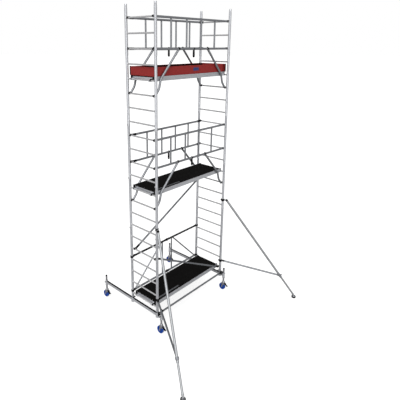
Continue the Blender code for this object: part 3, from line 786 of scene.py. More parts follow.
@dataclass
class Claw:
    """Black claw on the end of a bar, with its core, tongue and rivet.

    Attributes:
        seat: inside radius, just over the rung.
        thick: wall.
        reach: length of the arm.
        half: half of its width along the rung.
        sleeve: length of the collar round the bar.
    """

    seat: float = 0.0146
    thick: float = 0.0078
    reach: float = 0.044
    half: float = 0.0145
    sleeve: float = 0.078

    def add(self, shape: Shape, tip: Point, sign: int) -> None:
        """Add the claw's body and the tongue that shuts it.

        Args:
            shape: the piece to add to.
            tip: centre of the rung that it grips.
            sign: +1 at the right end frame, -1 at the left.
        """
        place = Matrix(((sign, 0, 0, tip[0]), (0, 0, 1, tip[1] - self.half), (0, 1, 0, tip[2]), (0, 0, 0, 1)))
        shape.prism(claw_outline(self.seat, self.thick, self.reach), place, 2 * self.half, 0.0012)
        tongue = [
            (-self.seat - 0.004, -self.seat - 0.001), (-self.seat - 0.004, -self.seat - 0.006),
            (self.seat * 0.9, -self.seat - 0.0045), (self.seat, -self.seat - 0.001)
        ]
        inset = Matrix.Translation((0, 0.005, 0)) @ place
        shape.prism(tongue, inset, 2 * self.half - 0.01, 0.0008)

    def collar(self, shape: Shape, start: Point, towards: Point, radius: float) -> None:
        """Add the grip sleeve round the bar behind the claw.

        Args:
            shape: the piece to add to.
            start: bar's centre where the arm ends.
            towards: a point further along the bar.
            radius: the bar's radius.
        """
        profile = [
            (radius + 0.0003, 0), (radius + 0.003, 0.001), (radius + 0.003, 0.01), (radius + 0.0021, 0.012)
        ]
        for i in range(5):
            low = 0.018 + i * 0.009
            profile += [
                (radius + 0.0021, low), (radius + 0.0027, low + 0.002), (radius + 0.0021, low + 0.004)
            ]
        profile += [
            (radius + 0.0021, self.sleeve - 0.006), (radius + 0.0028, self.sleeve - 0.004),
            (radius + 0.0026, self.sleeve), (radius + 0.0003, self.sleeve)
        ]
        shape.lathe(profile, aim(start, towards), 20, loop=True)


def fasteners(
    name: str, body: str, finish: Finish, unit: Shape, spots: list[tuple[Point, Point]], size: float
) -> None:
    """Make one piece of a group of small fasteners or rims.

    Args:
        name: the piece's name.
        body: the frame's body that it moves with.
        finish: its surface.
        unit: one of them, round the origin with +Z outwards.
        spots: a point and a facing for each.
        size: their radius.
    """
    made = Shape()
    made.take(scatter(unit, spots, size, finish))
    made.piece(name, finish, body)


# --- the tower's grid
@dataclass(frozen=True)
class Grid:
    """Places that every sub-assembly shares, read from the frame.

    Attributes:
        half: the end frames' distance from the middle.
        front: y of the front uprights.
        rear: y of the rear uprights.
        first: height of the lowest rung.
        pitch: rung pitch.
    """

    half: float
    front: float
    rear: float
    first: float = 0.52
    pitch: float = 0.25

    def rung(self, index: int) -> float:
        """Height of a rung's centre, counted from the lowest."""
        return self.first + index * self.pitch


UPRIGHT = 0.0245
UPRIGHT_BORE = 0.0225
RUNG = 0.014


def grid() -> Grid:
    """Read the tower's grid from its base frame.

    Returns:
        The shared places.
    """
    low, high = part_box("left_base_frame")
    return Grid(-(low.x + high.x) / 2, low.y + UPRIGHT, high.y - UPRIGHT)


SIDES = (("left", -1), ("right", 1))
LEVELS = (("base", 0), ("middle", 9), ("upper", 17))


# --- end frames
@dataclass
class EndLadder:
    """One end of the tower: four stacked ladder sections with their lock clips.

    Attributes:
        grid: the shared places.
        side: left or right.
        sign: -1 for left, +1 for right.
        below: a section's lower end, below its first rung.
        spigot: length of the spigot on top.
        foot: height of the base section's feet.
        sections: name, lowest rung and number of rungs of each section.
    """

    grid: Grid
    side: str
    sign: int
    below: float = 0.09
    spigot: float = 0.06
    foot: float = 0.318
    sections: tuple[tuple[str, int, int], ...] = (
        ("base", 0, 6), ("lower", 6, 4), ("middle", 10, 4), ("top", 14, 8)
    )

    def __post_init__(self) -> None:
        """Work out the frame's place."""
        self.x = self.sign * self.grid.half

    def build(self) -> None:
        """Build every section, the clips and the collars."""
        for label, first, count in self.sections:
            self.section(label, first, count)
        self.clips()
        self.plugs()

    def section(self, label: str, first: int, count: int) -> None:
        """Build a section's uprights, and its rungs as a piece of their own.

        Args:
            label: the section's name.
            first: its lowest rung.
            count: number of rungs.
        """
        x = self.x
        low = self.foot if first == 0 else self.grid.rung(first) - self.below + 0.0005
        shoulder = self.grid.rung(first + count) - self.below
        tubes = Shape()
        for y in (self.grid.front, self.grid.rear):
            self.upright(tubes, y, low, shoulder, first > 0)
        holes = [
            ((x, y + way * 0.0213, shoulder + 0.032), (0, way, 0)) for y in (self.grid.front, self.grid.rear)
            for way in (-1, 1)
        ]
        tubes.take(scatter(rivet_head(), holes, 0.0045, ALUMINIUM))
        node = f"{self.side}_{label}_frame"
        tubes.piece(f"{node}_uprights", ALUMINIUM, "tower", (node,), Grain.ALONG_Z)
        rungs = Shape()
        unit = self.rung_unit()
        rungs.take(repeat(unit, count, (x, 0, self.grid.rung(first)), (0, 0, self.grid.pitch), RUNG_METAL))
        rungs.piece(f"{node}_rungs", RUNG_METAL, "tower", (), Grain.ALONG_Y)

    def upright(self, shape: Shape, y: float, low: float, shoulder: float, socket: bool) -> None:
        """Add one upright: tube, swaged socket, eased shoulder and hollow spigot.

        Args:
            shape: the piece to add to.
            y: its place across the tower.
            low: height of its lower end.
            shoulder: height of the shoulder under the spigot.
            socket: whether its lower end takes a spigot.
        """
        wall = UPRIGHT_BORE
        thin = UPRIGHT_BORE - 0.0008
        neck = thin - 0.0009
        inside = thin - 0.0034
        tip = shoulder + self.spigot
        bead = [(UPRIGHT, low + 0.0012)]
        if socket:
            bead = [(UPRIGHT + 0.001, low + 0.001), (UPRIGHT + 0.0012, low + 0.012), (UPRIGHT, low + 0.016)]
        profile = [
            (wall, low),
            (UPRIGHT - 0.0008, low),
            *bead,
            (UPRIGHT, shoulder - 0.0012),
            (UPRIGHT - 0.001, shoulder),
            (thin, shoulder),
            (thin, shoulder + self.spigot * 0.4),
            (neck, shoulder + self.spigot * 0.42),
            (neck, shoulder + self.spigot * 0.47),
            (thin, shoulder + self.spigot * 0.49),
            (thin, tip - 0.006),
            (thin - 0.0022, tip - 0.0006),
            (thin - 0.003, tip),
            (inside, tip),
            (inside, shoulder - self.spigot),
            (wall, shoulder - self.spigot),
        ]
        shape.lathe(profile, Matrix.Translation((self.x, y, 0)), 28, loop=True)

    def rung_unit(self) -> Shape:
        """Fluted rung between the uprights, with a weld bead at each end.

        Returns:
            The rung, at height zero in the frame's plane.
        """
        unit = Shape()
        start = self.grid.front + UPRIGHT * 0.6
        end = self.grid.rear - UPRIGHT * 0.6
        count = 48
        outline = []
        for i in range(count):
            angle = 2 * math.pi * i / count
            radius = RUNG * (0.94 if i % 3 == 0 else 1.0)
            outline.append((radius * math.cos(angle), radius * math.sin(angle)))
        unit.prism(outline, Matrix.Translation((0, start, 0)) @ TURN_Y, end - start)
        for y, way in ((self.grid.front, 1), (self.grid.rear, -1)):
            seat = y + way * (UPRIGHT - 0.003)
            bead = [
                (RUNG - 0.001, 0), (RUNG + 0.0042, 0), (RUNG + 0.0036, 0.0035), (RUNG + 0.0012, 0.0062),
                (RUNG - 0.001, 0.007)
            ]
            unit.lathe(bead, aim((0, seat, 0), (0, seat + way, 0)), 20, loop=True)
        return unit

    def clips(self) -> None:
        """Build the spring clips that lock the stacked sections, three to an upright."""
        spots = []
        for _, first, _ in self.sections[1:]:
            spots += [
                (y, self.grid.rung(first) - self.below + 0.026) for y in (self.grid.front, self.grid.rear)
            ]
        x = self.sign * self.grid.half
        wires = Shape()
        heads = Shape()
        for y, z in spots:
            loop = arc((0, 0), UPRIGHT + 0.0016, 28, 332, 16)
            path = [(x + a * -1, y + b, z) for a, b in loop]
            tail = (x - UPRIGHT - 0.02, y, z - 0.004)
            wires.take(bent([(x - UPRIGHT + 0.01, y - 0.004, z + 0.012), tail, *path[:1]], 0.0014, 0.002, 8))
            wires.take(bent(path, 0.0015, 0.001, 8))
            heads.slab(
                (x - UPRIGHT - 0.013, y - 0.0065, z - 0.014), (x - UPRIGHT + 0.001, y + 0.0065, z + 0.014),
                0.003, 0.0025
            )
            heads.pipe((x - UPRIGHT - 0.019, y, z), (x - UPRIGHT - 0.012, y, z), 0.0058, 0, 14)
        wires.piece(f"{self.side}_lock_clip_wires", BOLT_STEEL, "tower")
        heads.piece(f"{self.side}_lock_clip_heads", RUNG_METAL, "tower")

    def plugs(self) -> None:
        """Build the collars where the base uprights stand in the traverse, with their lugs."""
        lugs = Shape()
        x = self.sign * self.grid.half
        for y in (self.grid.front, self.grid.rear):
            inner = UPRIGHT + 0.0004
            lugs.lathe(
                [
                    (inner, 0.4106), (UPRIGHT + 0.0052, 0.4106), (UPRIGHT + 0.0058, 0.413),
                    (UPRIGHT + 0.0048, 0.4215), (inner, 0.4225)
                ],
                Matrix.Translation((x, y, 0)),
                24,
                loop=True,
            )
        lugs.piece(f"{self.side}_foot_collars", BLACK_PLASTIC, "tower")


# --- traverses
@dataclass
class Traverse:
    """Wheeled beam under an end frame.

    Attributes:
        grid: the shared places.
        side: left or right.
        sign: -1 for left, +1 for right.
        middle: height of the beam's centre.
        width: the beam's width.
        height: the beam's height.
        ahead: castor axis ahead of the front uprights.
        behind: castor axis behind the front uprights.
        sleeve: outside radius of the castors' sleeves.
    """

    grid: Grid
    side: str
    sign: int
    middle: float = 0.365
    width: float = 0.04
    height: float = 0.055
    ahead: float = 0.105
    behind: float = 1.568
    sleeve: float = 0.0257

    def __post_init__(self) -> None:
        """Work out the beam's place and its two ends."""
        self.x = self.sign * self.grid.half
        self.y0 = self.grid.front - self.ahead
        self.y1 = self.grid.front + self.behind

    def build(self) -> None:
        """Build the beam, its sleeves, the black band of painted dark reflection on its top and the latches
        and knobs.
        """
        node = f"{self.side}_traverse"
        x = self.x
        beam = Shape()
        self.beam(beam)
        for y in (self.y0, self.y1):
            self.tube_sleeve(beam, (x, y), self.middle - 0.045, self.middle + 0.045, 0.0205, self.sleeve)
        for y in (self.grid.front, self.grid.rear):
            self.tube_sleeve(beam, (x, y), 0.3175, self.middle + 0.045, UPRIGHT + 0.0008, UPRIGHT + 0.0075)
            beam.lathe(
                [
                    (UPRIGHT + 0.0072, 0.3175), (UPRIGHT + 0.0072, 0.308), (UPRIGHT - 0.006, 0.3057),
                    (0, 0.3057), (0, 0.3175)
                ],
                Matrix.Translation((x, y, 0)), 24
            )
        for y in (self.y0, self.grid.front, self.grid.rear, self.y1):
            for way in (-1, 1):
                self.gusset(beam, y, way)
        beam.piece(node, ALUMINIUM, "tower", (node,), Grain.ALONG_Y)
        self.painted_top_reflection()
        self.latches()
        self.height_locks()

    def beam(self, shape: Shape) -> None:
        """Add the box beam, with a groove along each side and a weld at each corner of its ends.

        Args:
            shape: the piece to add to.
        """
        w = self.width / 2
        h = self.height / 2
        side = [
            (w, -h + 0.004), (w, -0.0105), (w - 0.0022, -0.009), (w - 0.0022, 0.005), (w, 0.0065),
            (w, h - 0.001)
        ]
        right = [(w - 0.004, -h), *side, (w - 0.001, h)]
        left = [(-a, b) for a, b in reversed(right)]
        stop = 0.0208
        place = section_across(self.x, self.y0 + stop, self.middle)
        shape.prism([*right, *left], place, self.y1 - self.y0 - 2 * stop)
        bead = 0.003
        low, high = self.middle - h + 0.002, self.middle + h - 0.002
        for y in (self.y0 + 0.0195, self.y1 - 0.0195):
            for x in (self.x - 0.018, self.x + 0.018):
                shape.pipe((x, y, low), (x, y, high), bead, 0, 10)

    def tube_sleeve(
        self, shape: Shape, spot: tuple[float, float], low: float, high: float, bore: float, outer: float
    ) -> None:
        """Add a welded sleeve with a rim at each end.

        Args:
            shape: the piece to add to.
            spot: x and y of its axis.
            low: its lower end.
            high: its upper end.
            bore: inside radius.
            outer: outside radius.
        """
        profile = [
            (bore, low), (outer, low), (outer + 0.0014, low + 0.0015), (outer + 0.0014, low + 0.008),
            (outer, low + 0.0095)
        ]
        profile += [
            (outer, high - 0.0095), (outer + 0.0014, high - 0.008), (outer + 0.0014, high - 0.0015),
            (outer, high), (bore, high)
        ]
        shape.lathe(profile, Matrix.Translation((*spot, 0)), 28, loop=True)

    def gusset(self, shape: Shape, y: float, way: int) -> None:
        """Add a small welded web under the beam beside a sleeve, where the beam goes on.

        Args:
            shape: the piece to add to.
            y: the sleeve's place.
            way: side of the sleeve.
        """
        if not self.y0 <= y + way * 0.04 <= self.y1:
            return
        base = self.middle - self.height / 2
        start = y + way * 0.026
        outline = [
            (start, base + 0.001), (start + way * 0.034, base + 0.001), (start + way * 0.006, base - 0.016),
            (start, base - 0.016)
        ]
        place = section_along(self.x - 0.0025, 0, 0)
        shape.prism(outline, place, 0.005)

    def painted_top_reflection(self) -> None:
        """Build the ribbed black band along the beam's top, between its sleeves: painted dark reflection of
        the beam's flat top face.
        """
        made = Shape()
        top = self.middle + self.height / 2
        front, rear, clear = self.grid.front, self.grid.rear, 0.036
        cuts = [self.y0 + 0.029, front - clear, front + clear, rear - clear, rear + clear, self.y1 - 0.029]
        for a, b in zip(cuts[::2], cuts[1::2]):
            if b - a < 0.02:
                continue
            outline = [(-0.019, 0), (0.019, 0), (0.019, 0.001), (0.0175, 0.0018)]
            for i in range(7):
                at = 0.0146 - i * 0.0045
                outline += [(at, 0.0018), (at - 0.0006, 0.0011), (at - 0.0016, 0.0011), (at - 0.0022, 0.0018)]
            outline += [(-0.0175, 0.0018), (-0.019, 0.001)]
            place = section_across(self.x, a, top + 0.0001)
            made.prism(outline, place, b - a)
        made.piece(f"{self.side}_traverse_strip", BLACK_PLASTIC, "tower", (), Grain.ALONG_Y)

    def latches(self) -> None:
        """Build the black hooked latches on the inner side of each upright, above the beam."""
        made = Shape()
        for y, way in ((self.grid.front, 1), (self.grid.rear, -1)):
            for side in (-1, 1):
                place = Matrix((
                    (0, 0, 1, self.x + side * 0.0185 - 0.0035), (way, 0, 0, y + way * (UPRIGHT + 0.001)),
                    (0, 1, 0, 0.427), (0, 0, 0, 1)
                ))
                hook = [
                    (0, -0.016), (0.01, -0.02), (0.024, -0.012), (0.03, 0.004), (0.026, 0.018),
                    (0.018, 0.012), (0.017, 0), (0.01, -0.005), (0.006, 0.01), (0, 0.014)
                ]
                made.prism(hook, place, 0.007, 0.001)
        made.piece(f"{self.side}_foot_latches", BLACK_PLASTIC, "tower")

    def height_locks(self) -> None:
        """Build the sprung knobs that lock each castor's height, on the sleeves' outer side."""
        knobs = Shape()
        z = self.middle + 0.018
        for y in (self.y0, self.y1):
            start = (self.x + self.sign * (self.sleeve - 0.001), y, z)
            end = (self.x + self.sign * (self.sleeve + 0.03), y, z)
            profile = [
                (0, 0), (0.0075, 0), (0.0075, 0.009), (0.0045, 0.011), (0.0045, 0.016), (0.01, 0.018),
                (0.0112, 0.022), (0.01, 0.028), (0, 0.03)
            ]
            knobs.lathe(profile, aim(start, end), 18)
        knobs.piece(f"{self.side}_height_lock_knobs", BLACK_PLASTIC, "tower")


# --- castors
@dataclass
class Castor:
    """One braked castor on its height-adjusting stem.

    Attributes:
        name: the frame's name for it.
        x: its place along the tower.
        y: its place across the tower.
        radius: the wheel's radius.
        half: half of the wheel's width.
        gap: space between the wheel and each fork leg.
        trail: axle behind the swivel axis.
        pin: brake pin's y and z, from the swivel axis and the floor.
    """

    name: str
    x: float
    y: float
    radius: float = 0.075
    half: float = 0.0222
    gap: float = 0.0013
    trail: float = 0.025
    pin: tuple[float, float] = (-0.047, 0.15)

    def build(self) -> None:
        """Build the stem, fork, wheel and brake."""
        self.stem()
        self.fork()
        self.wheel()
        self.brake()

    def stem(self) -> None:
        """Build the stem, its swivel head and its black cap."""
        spot = Matrix.Translation((self.x, self.y, 0))
        stem = Shape()
        top = 0.3195
        low = top - 0.018
        profile = [
            (0, 0.169), (0.01, 0.169), (0.01, 0.1925), (0.0285, 0.1925), (0.03, 0.1945), (0.03, 0.2),
            (0.024, 0.2065), (0.0195, 0.213), (0.0185, 0.218), (0.0185, low), (0.027, low),
            (0.029, low + 0.002),
            (0.029, low + 0.006), (
                0.0278, low + 0.008
            ), (0.029, low + 0.01), (0.029, top - 0.002), (0.0275, top),
            (0.0185, top), (0.0185, 0.506), (0.0175, 0.5072), (0.0155, 0.5072), (0.0155, 0.325), (0, 0.325),
        ]
        stem.lathe(profile, spot, 28)
        stem.piece(f"{self.name}_stem", ZINC, f"{self.name}_stem", (f"{self.name}_stem",), Grain.ALONG_Z)
        spots = []
        for i in range(3):
            z = 0.428 + i * 0.026
            spots += [((self.x + way * 0.018, self.y, z), (way, 0, 0)) for way in (-1, 1)]
        fasteners(f"{self.name}_stem_holes", f"{self.name}_stem", BOLT_STEEL, hole_rim(14), spots, 0.0042)
        cap = Shape()
        ball = [(0, 0.5), (0.015, 0.5), (0.015, 0.5075), (0.0186, 0.5075), (0.0196, 0.509), (0.0196, 0.513)]
        ball += [(a, b) for a, b in arc((0.0, 0.5186), 0.0199, -8, 86, 9)]
        ball += [(0, 0.5387)]
        cap.lathe(ball, spot, 24)
        cap.piece(f"{self.name}_stem_cap", BLACK_PLASTIC, f"{self.name}_stem")

    def fork(self) -> None:
        """Build the pressed fork with its raceway, axle and nuts."""
        fork = Shape()
        spot = Matrix.Translation((self.x, self.y, 0))
        race = [
            (0.0112, 0.1675), (0.03, 0.1675), (0.0335, 0.17), (0.035, 0.176), (0.035, 0.1815),
            (0.0335, 0.184), (0.0335, 0.187), (0.031, 0.191), (0.0112, 0.191)
        ]
        fork.lathe(race, spot, 32, loop=True)
        inner = self.half + self.gap
        crown = [
            (-0.03, -inner), (-0.018, -inner - 0.004), (0.026, -inner - 0.004), (0.033, -inner),
            (0.033, inner), (0.026, inner + 0.004), (-0.018, inner + 0.004), (-0.03, inner)
        ]
        place = Matrix(((0, 1, 0, self.x), (1, 0, 0, self.y), (0, 0, 1, 0.1625), (0, 0, 0, 1)))
        fork.prism([(a, b) for a, b in crown], place, 0.0055, 0.001)
        y0 = self.pin[0]
        axle = self.trail
        leg = [
            (-0.03, 0.1675), (y0 - 0.004, self.pin[1] + 0.0115), *arc((y0, self.pin[1]), 0.0105, 120, 250, 5)
        ]
        leg += [(y0 + 0.02, 0.144), (axle - 0.0095, 0.088), *arc((axle, 0.075), 0.0112, 165, 370, 9)]
        leg += [(axle + 0.0055, 0.098), (0.024, 0.136), (0.026, 0.1675)]
        for sign in (-1, 1):
            start = self.x + sign * (inner + 0.002) - 0.002
            place = section_along(start, self.y, 0)
            fork.prism(leg, place, 0.004, 0.0008)
        ay = self.y + axle
        fork.pipe(
            (self.x - inner - 0.01, ay, self.radius), (self.x + inner + 0.01, ay, self.radius), 0.0078, 0, 20
        )
        pin_y = self.y + y0
        fork.pipe(
            (self.x - inner - 0.0035, pin_y, self.pin[1]), (self.x + inner + 0.0035, pin_y, self.pin[1]),
            0.0038, 0, 16
        )
        fork.piece(f"{self.name}_fork", ZINC, f"{self.name}_fork", (f"{self.name}_fork",))
        nuts = Shape()
        sides = [((self.x + way * (inner + 0.0042), ay, self.radius), (way, 0, 0)) for way in (-1, 1)]
        nuts.take(scatter(bolt_head(), sides, 0.0085, BOLT_STEEL))
        rivets = [((self.x + way * (inner + 0.0036), pin_y, self.pin[1]), (way, 0, 0)) for way in (-1, 1)]
        nuts.take(scatter(rivet_head(), rivets, 0.0058, BOLT_STEEL))
        nuts.piece(f"{self.name}_fork_nuts", BOLT_STEEL, f"{self.name}_fork")

    def wheel(self) -> None:
        """Build the tyre with its ribbed web, and the hub cover."""
        centre = (self.x, self.y + self.trail, self.radius)
        place = Matrix.Translation(centre) @ TURN_X
        r = self.radius
        h = self.half
        tyre = Shape()
        outer = [
            (r - 0.0225, 0.0115), (r - 0.0205, h - 0.0018), (r - 0.0165, h), (r - 0.007, h),
            (r - 0.003, h - 0.0025), (r - 0.0008, h - 0.007), (r, h - 0.013)
        ]
        half = [
            (0.0096, h + 0.0003), (0.0185, h + 0.0003), (0.0205, h - 0.001), (0.0225, 0.0085),
            (0.03, 0.0068), (r - 0.0275, 0.0068), *outer
        ]
        tyre.lathe(half + [(a, -b) for a, b in reversed(half)], place, 48, loop=True)
        spoke = Shape()
        spoke.prism(
            [(0.0215, -0.0022), (r - 0.0235, -0.0018), (r - 0.0235, 0.0018), (0.0215, 0.0022)],
            Matrix.Translation((0, 0, -0.015)), 0.03, 0.0006
        )
        for i in range(8):
            unit = spoke.mesh("spoke")
            unit.transform(place @ Matrix.Rotation(math.pi * 2 * i / 8, 4, "Z"))
            tyre.take(unit)
        tyre.piece(f"{self.name}_wheel", WHEEL_BLUE, f"{self.name}_wheel", (f"{self.name}_wheel",))
        hub = Shape()
        for way in (-1, 1):
            end = (centre[0] + way * 1.0, centre[1], centre[2])
            start = (centre[0] + way * (h - 0.001), centre[1], centre[2])
            hub.lathe(
                [(0.01, 0), (0.0165, 0), (0.0165, 0.0015), (0.014, 0.002), (0.01, 0.002)], aim(start, end),
                28, loop=True
            )
        hub.piece(f"{self.name}_wheel_seals", RUNG_METAL, f"{self.name}_wheel")

    def brake(self) -> None:
        """Build the ribbed brake pedal."""
        y = self.y + self.pin[0]
        z = self.pin[1]
        outline = [(0.0085, 0.005), (0.003, 0.01), (-0.006, 0.0108), (-0.016, 0.007), (-0.031, -0.0085)]
        outline += [(-0.044, -0.0205), (-0.056, -0.0258), (-0.067, -0.0295), (-0.068, -0.037)]
        outline += [(-0.056, -0.0345), (-0.041, -0.03), (-0.028, -0.018), (-0.012, -0.008), (0.003, -0.008)]
        pedal = Shape()
        place = section_along(self.x - 0.0175, y, z)
        pedal.prism(outline, place, 0.035, 0.0012)
        rib = Shape()
        rib.slab((-0.015, -0.0011, -0.001), (0.015, 0.0011, 0.0016), 0.0008, 0.0005)
        start = (self.x, y - 0.065, z - 0.0288)
        pedal.take(repeat(rib, 4, start, (0, 0.006, 0.0022), BLACK_PLASTIC))
        pedal.piece(f"{self.name}_brake", BLACK_PLASTIC, f"{self.name}_brake", (f"{self.name}_brake",))


# --- platforms
@dataclass
class Platform:
    """One platform: extruded frame with hooks, ribbed deck and hinged hatch.

    Attributes:
        grid: the shared places.
        label: base, middle or upper.
        index: the rung that carries it.
        offset: side rails' outer faces, from the uprights' centres.
        top: the deck's top above the rung.
        thick: the deck's thickness.
        hatch_start: hatch's near edge, from the left end frame.
        hatch_length: its length.
        edge: width of the deck beside the hatch.
        claw: half of a hook's width along the rung.
    """

    grid: Grid
    label: str
    index: int
    offset: float = 0.07
    top: float = 0.06
    thick: float = 0.012
    hatch_start: float = 0.15
    hatch_length: float = 0.6
    edge: float = 0.05
    claw: float = 0.02

    def __post_init__(self) -> None:
        """Work out the places that the parts share."""
        self.z = self.grid.rung(self.index)
        self.end = self.grid.half - 0.029
        self.y0 = self.grid.front + self.offset
        self.y1 = self.grid.rear - self.offset
        self.hx0 = -self.grid.half + self.hatch_start
        self.hx1 = self.hx0 + self.hatch_length
        self.hy0 = self.y0 + 0.003 + self.edge
        self.hy1 = self.y1 - 0.003 - self.edge

    def build(self) -> None:
        """Build the frame, deck and hatch."""
        self.frame()
        self.hooks()
        self.deck()
        self.hatch()

    def rail_outline(self, inward: int) -> Outline:
        """Section of a side rail.

        Args:
            inward: +1 for the front rail, -1 for the rear rail.

        Returns:
            Its points, as (y, z) from the rail's outer face and the rung.
        """
        shelf = self.top - self.thick - 0.0005
        points = [
            (0, -0.0145), (0.0005, -0.015), (0.02, -0.015), (0.02, -0.012), (0.0035, -0.012), (
                0.0035, shelf - 0.003
            ),
            (0.02, shelf - 0.003), (0.02, shelf), (0.003, shelf), (
                0.003, self.top + 0.0012
            ), (0.0022, self.top + 0.002),
            (0.0006, self.top + 0.002), (0, self.top + 0.0012), (0, 0.042), (0.0014, 0.0405), (0.0014, 0.037),
            (0, 0.0355), (0, 0.011), (0.0014, 0.0095), (0.0014, 0.006), (0, 0.0045),
        ]
        return [(inward * a, b) for a, b in points]

    def frame(self) -> None:
        """Build both side rails, the end beams and the cross members."""
        made = Shape()
        for y, inward in ((self.y0, 1), (self.y1, -1)):
            place = section_along(-self.end, y, self.z)
            made.prism(self.rail_outline(inward), place, 2 * self.end)
        shelf = self.z + self.top - self.thick - 0.0005
        for sign in (-1, 1):
            x = sign * (self.end - 0.006)
            made.slab(
                (x - 0.006, self.y0 + 0.0035, self.z - 0.014), (x + 0.006, self.y1 - 0.0035, shelf), 0.0015,
                0.0008
            )
        ledge = 0.012
        for x in (
            self.hx0 + ledge - 0.02, self.hx1 - ledge, (self.hx1 + self.grid.half) / 3,
            (self.hx1 + 2 * self.grid.half) / 3.2
        ):
            place = section_across(x + 0.01, self.y0 + 0.0035, shelf - 0.011)
            made.prism(rounded(0.02, 0.022, 0.003), place, self.y1 - self.y0 - 0.007)
        node = f"{self.label}_platform_frame"
        made.piece(node, ALUMINIUM, "tower", (node,), Grain.ALONG_X)
        spots = []
        for y, way in ((self.y0, -1), (self.y1, 1)):
            for x in (-self.end + 0.012, -self.end + 0.03, self.end - 0.03, self.end - 0.012):
                spots += [
                    ((x, y, self.z + 0.024), (0, way, 0)), ((x, y, self.z + 0.05), (0, way, 0)),
                    ((x, y, self.z - 0.008), (0, way, 0))
                ]
        fasteners(f"{node}_rivets", "tower", RUNG_METAL, rivet_head(), spots, 0.0042)

    def hooks(self) -> None:
        """Build the hooks over the rungs and the black corner fittings round them."""
        cores = Shape()
        black = Shape()
        grip = Claw(thick=0.01, reach=0.04, half=self.claw)
        shut = Claw(thick=0.013, reach=0.03, half=0.007)
        for sign in (-1, 1):
            x = sign * self.grid.half
            for y, way in ((self.grid.front + 0.15, 1), (self.grid.rear - 0.15, -1)):
                grip.add(cores, (x, y, self.z), sign)
                shut.add(black, (x, y - way * 0.03, self.z), sign)
            for y, way in ((self.y0, 1), (self.y1, -1)):
                low = sorted((y - way * 0.003, y + way * 0.03))
                inner = sorted((x - sign * 0.015, x - sign * 0.0285))
                black.slab(
                    (inner[0], low[0], self.z + 0.004), (inner[1], low[1], self.z + self.top + 0.0035),
                    0.003, 0.002
                )
                black.slab(
                    (inner[0], low[0], self.z - 0.0155), (inner[1], low[1], self.z + 0.0035), 0.003, 0.002
                )
        cores.piece(f"{self.label}_platform_hooks", ALUMINIUM, "tower")
        black.piece(f"{self.label}_platform_corners", BLACK_PLASTIC, "tower")

    def deck(self) -> None:
        """Build the deck panel round the hatch, its anti-slip ribs and its edge screws."""
        made = Shape()
        low = self.z + self.top - self.thick
        high = self.z + self.top - 0.0006
        ya = self.y0 + 0.0035
        yb = self.y1 - 0.0035
        blocks = [
            ((-self.end, ya), (self.hx0, yb)), ((self.hx1, ya), (self.end, yb)),
            ((self.hx0, ya), (self.hx1, self.hy0)), ((self.hx0, self.hy1), (self.hx1, yb))
        ]
        for (xa, a), (xb, b) in blocks:
            made.slab((xa, a, low), (xb, b, high), 0.0004, 0.0004)
        for ((xa, a), (xb, b)), bare in zip(blocks, (0.004, 0.004, 0.002, 0.002)):
            self.ribs(made, xa + bare, xb - bare, a + 0.004, b - 0.004)
        node = f"{self.label}_platform_deck"
        made.piece(node, DECK_FILM, "tower", (node,))
        spots = []
        for y in (ya + 0.011, yb - 0.011):
            spots += [
                ((-self.end + 0.02 + i * (2 * self.end - 0.04) / 9, y, high), (0, 0, 1)) for i in range(10)
            ]
        for x in (-self.end + 0.008, self.end - 0.008):
            spots += [((x, ya + 0.1 + i * (yb - ya - 0.2) / 2, high), (0, 0, 1)) for i in range(3)]
        fasteners(f"{node}_screws", "tower", RUNG_METAL, rivet_head(), spots, 0.004)

    def ribs(self, shape: Shape, xa: float, xb: float, ya: float, yb: float, pitch: float = 0.0125) -> None:
        """Add the raised lines of the anti-slip surface to a stretch of deck.

        Args:
            shape: the piece to add to.
            xa: first x.
            xb: last x.
            ya: first y.
            yb: last y.
            pitch: from one line to the next.
        """
        unit = Shape()
        outline = [(-0.0026, 0), (-0.0012, 0.0006), (0.0012, 0.0006), (0.0026, 0)]
        place = section_across(0, ya, 0)
        unit.prism(outline, place, yb - ya)
        count = max(1, int((xb - xa) / pitch))
        start = xa + ((xb - xa) - (count - 1) * pitch) / 2
        shape.take(repeat(unit, count, (start, 0, self.z + self.top - 0.0007), (pitch, 0, 0), DECK_FILM))

    def hatch(self) -> None:
        """Build the hatch lid with its ribs, hinge knuckles, finger pull and latch."""
        body = f"{self.label}_hatch"
        node = f"{self.label}_platform_hatch"
        gap = 0.002
        barrel = 0.005
        axis = (self.hy0 + gap + barrel, self.z + self.top - barrel)
        low = self.z + self.top - self.thick
        lid = Shape()
        xa, xb = self.hx0 + gap, self.hx1 - gap
        lid.slab((xa, axis[0] + 0.006, low), (xb, self.hy1 - gap, self.z + self.top - 0.0006), 0.003, 0.0006)
        self.ribs(lid, xa + 0.006, xb - 0.006, axis[0] + 0.034, self.hy1 - gap - 0.008)
        lid.piece(node, DECK_FILM, body, (node,))
        hinge = Shape()
        count = 9
        step = (xb - xa) / count
        knuckle = Shape()
        knuckle.pipe((-step / 2 + 0.0006, 0, 0), (step / 2 - 0.0006, 0, 0), barrel, 0, 16, 0.0006)
        hinge.take(repeat(knuckle, count, (xa + step / 2, axis[0], axis[1]), (step, 0, 0), RUNG_METAL))
        hinge.slab(
            (xa, axis[0] + 0.001, self.z + self.top - 0.0022),
            (xb, axis[0] + 0.026, self.z + self.top - 0.0002), 0.001, 0.0003
        )
        spots = [
            ((xa + 0.03 + i * (xb - xa - 0.06) / 6, axis[0] + 0.016, self.z + self.top - 0.0003), (0, 0, 1))
            for i in range(7)
        ]
        hinge.take(scatter(rivet_head(), spots, 0.0034, RUNG_METAL))
        hinge.piece(f"{node}_hinge", STRUT_METAL, body, (), Grain.ALONG_X)
        pull = Shape()
        mid = (xa + xb) / 2
        edge_y = self.hy1 - gap - 0.03
        frame_ring = rounded(0.09, 0.034, 0.01, 4)
        hole = rounded(0.068, 0.018, 0.008, 4)
        z = self.z + self.top
        rings = []
